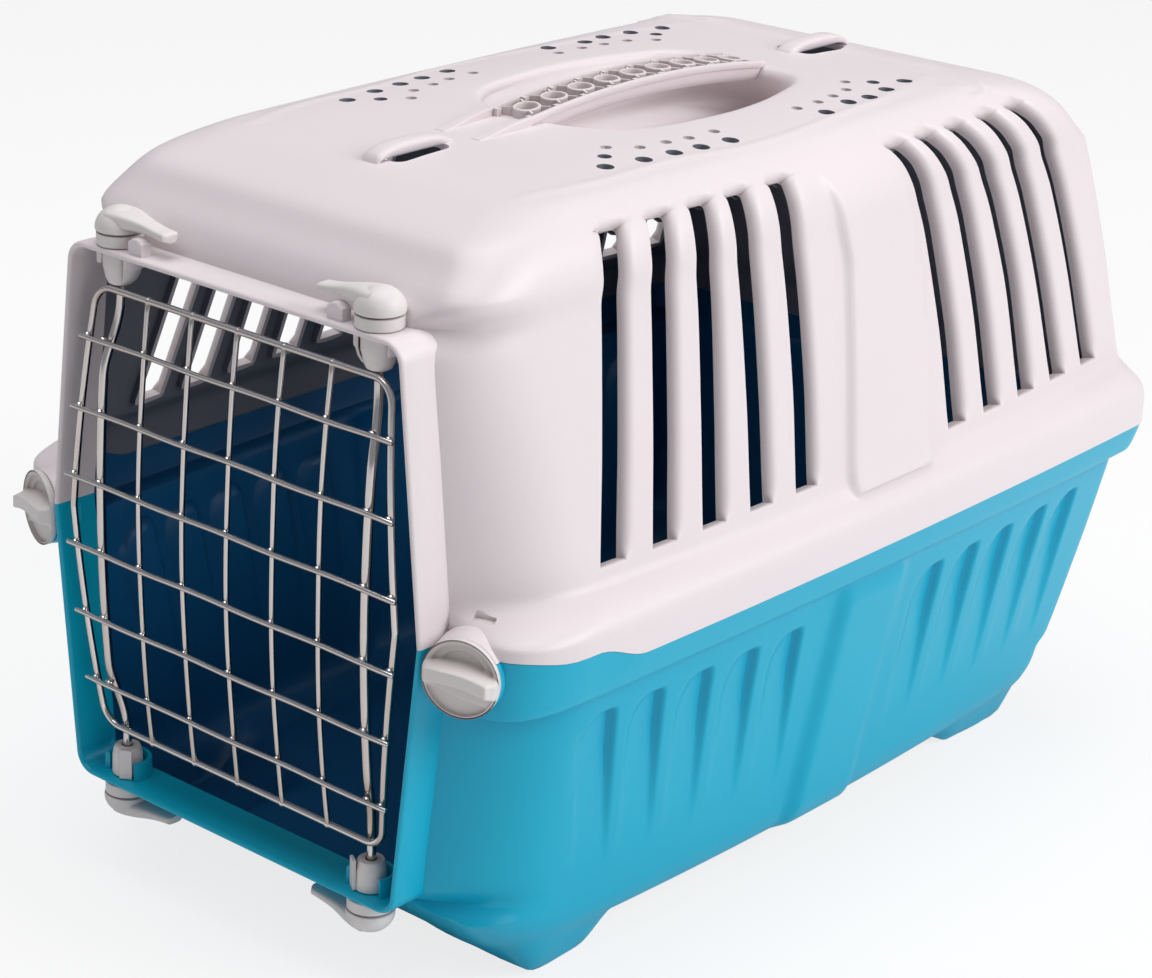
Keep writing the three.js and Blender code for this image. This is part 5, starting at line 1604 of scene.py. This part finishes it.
def make_stage():
    """White floor and backdrop, brighter to the camera alone."""
    corners = [(x * FLOOR_HALF, y * FLOOR_HALF, 0) for x, y in ((-1, -1), (1, -1), (1, 1), (-1, 1))]
    floor = make_object("floor", corners, [(0, 1, 2, 3)])
    material, nodes, links, shader = new_material("floor_white")
    shader.inputs["Roughness"].default_value = 0.9
    speck = add_node(nodes, "TexNoise", {"Scale": 3.0})
    tone = add_mix(nodes, links, speck.outputs["Fac"], (0.90, 0.90, 0.90), (0.93, 0.93, 0.93))
    links.new(tone.outputs[2], shader.inputs["Base Color"])
    glow = add_node(nodes, "Emission", {"Color": (1, 1, 1, 1)})
    seen = add_node(nodes, "Math", {1: FLOOR_GLOW}, operation="MULTIPLY")
    links.new(add_node(nodes, "LightPath").outputs["Is Camera Ray"], seen.inputs[0])
    mix_seen(nodes, links, seen.outputs[0], shader.outputs[0], glow.outputs[0], "Material Output")
    floor.data.materials.append(material)
    world = bpy.data.worlds.new("studio")
    bpy.context.scene.world = world
    world.use_nodes = True
    nodes, links = world.node_tree.nodes, world.node_tree.links
    back = nodes["Background"]
    back.inputs["Color"].default_value = WORLD_COLOUR
    back.inputs["Strength"].default_value = WORLD_STRENGTH
    plain = add_node(nodes, "Background", {"Color": (1, 1, 1, 1), "Strength": 1.0})
    path = add_node(nodes, "LightPath")
    mix_seen(nodes, links, path.outputs["Is Camera Ray"], back.outputs[0], plain.outputs[0], "World Output")


def area_light(name, place, target, size, power, colour=(1, 1, 1)):
    light = bpy.data.lights.new(name, "AREA")
    light.shape = "RECTANGLE"
    light.size, light.size_y = size
    light.energy = power
    light.color = colour
    lamp = bpy.data.objects.new(name, light)
    bpy.context.scene.collection.objects.link(lamp)
    lamp.location = place
    lamp.rotation_euler = (Vector(target) - Vector(place)).to_track_quat("-Z", "Y").to_euler()


CAMERA_PLACE = Vector((0.844, -1.0352, 0.660))
CAMERA_TURN, CAMERA_DIP, CAMERA_ROLL = (math.radians(v) for v in (41.34, 20.53, 1.73))

# Size of the photograph, its focal length and the place of its optical middle, in pixels
PHOTO = (1152.0, 978.0)
FOCAL_PIXELS = 3081.0
MIDDLE_PIXEL = (492.1, 445.9)


def make_camera():
    a, e, r = CAMERA_TURN, CAMERA_DIP, CAMERA_ROLL
    ahead = Vector((-math.sin(a) * math.cos(e), math.cos(a) * math.cos(e), -math.sin(e)))
    right = Vector((math.cos(a), math.sin(a), 0))
    up = right.cross(ahead)
    turned_right = math.cos(r) * right + math.sin(r) * up
    turned_up = -math.sin(r) * right + math.cos(r) * up
    data = bpy.data.cameras.new("camera")
    camera = bpy.data.objects.new("camera", data)
    bpy.context.scene.collection.objects.link(camera)
    basis = Matrix((turned_right, turned_up, -ahead)).transposed().to_4x4()
    camera.matrix_world = Matrix.Translation(CAMERA_PLACE) @ basis
    data.sensor_width = 36.0
    data.lens = 36.0 * FOCAL_PIXELS / PHOTO[0]
    data.shift_x = (PHOTO[0] / 2 - MIDDLE_PIXEL[0]) / PHOTO[0]
    data.shift_y = (MIDDLE_PIXEL[1] - PHOTO[1] / 2) / PHOTO[0]
    data.clip_start = 0.05
    data.clip_end = 50.0
    bpy.context.scene.camera = camera


make_stage()
area_light("key", (2.5, 1.0, 1.7), (0, 0, 0.15), (1.6, 1.6), 60.0, (1.0, 0.985, 0.98))
area_light("top", (-0.2, -0.2, 2.6), (0, 0, 0.2), (2.2, 2.2), 44.0)
make_camera()
bpy.context.scene.view_settings.view_transform = "Standard"
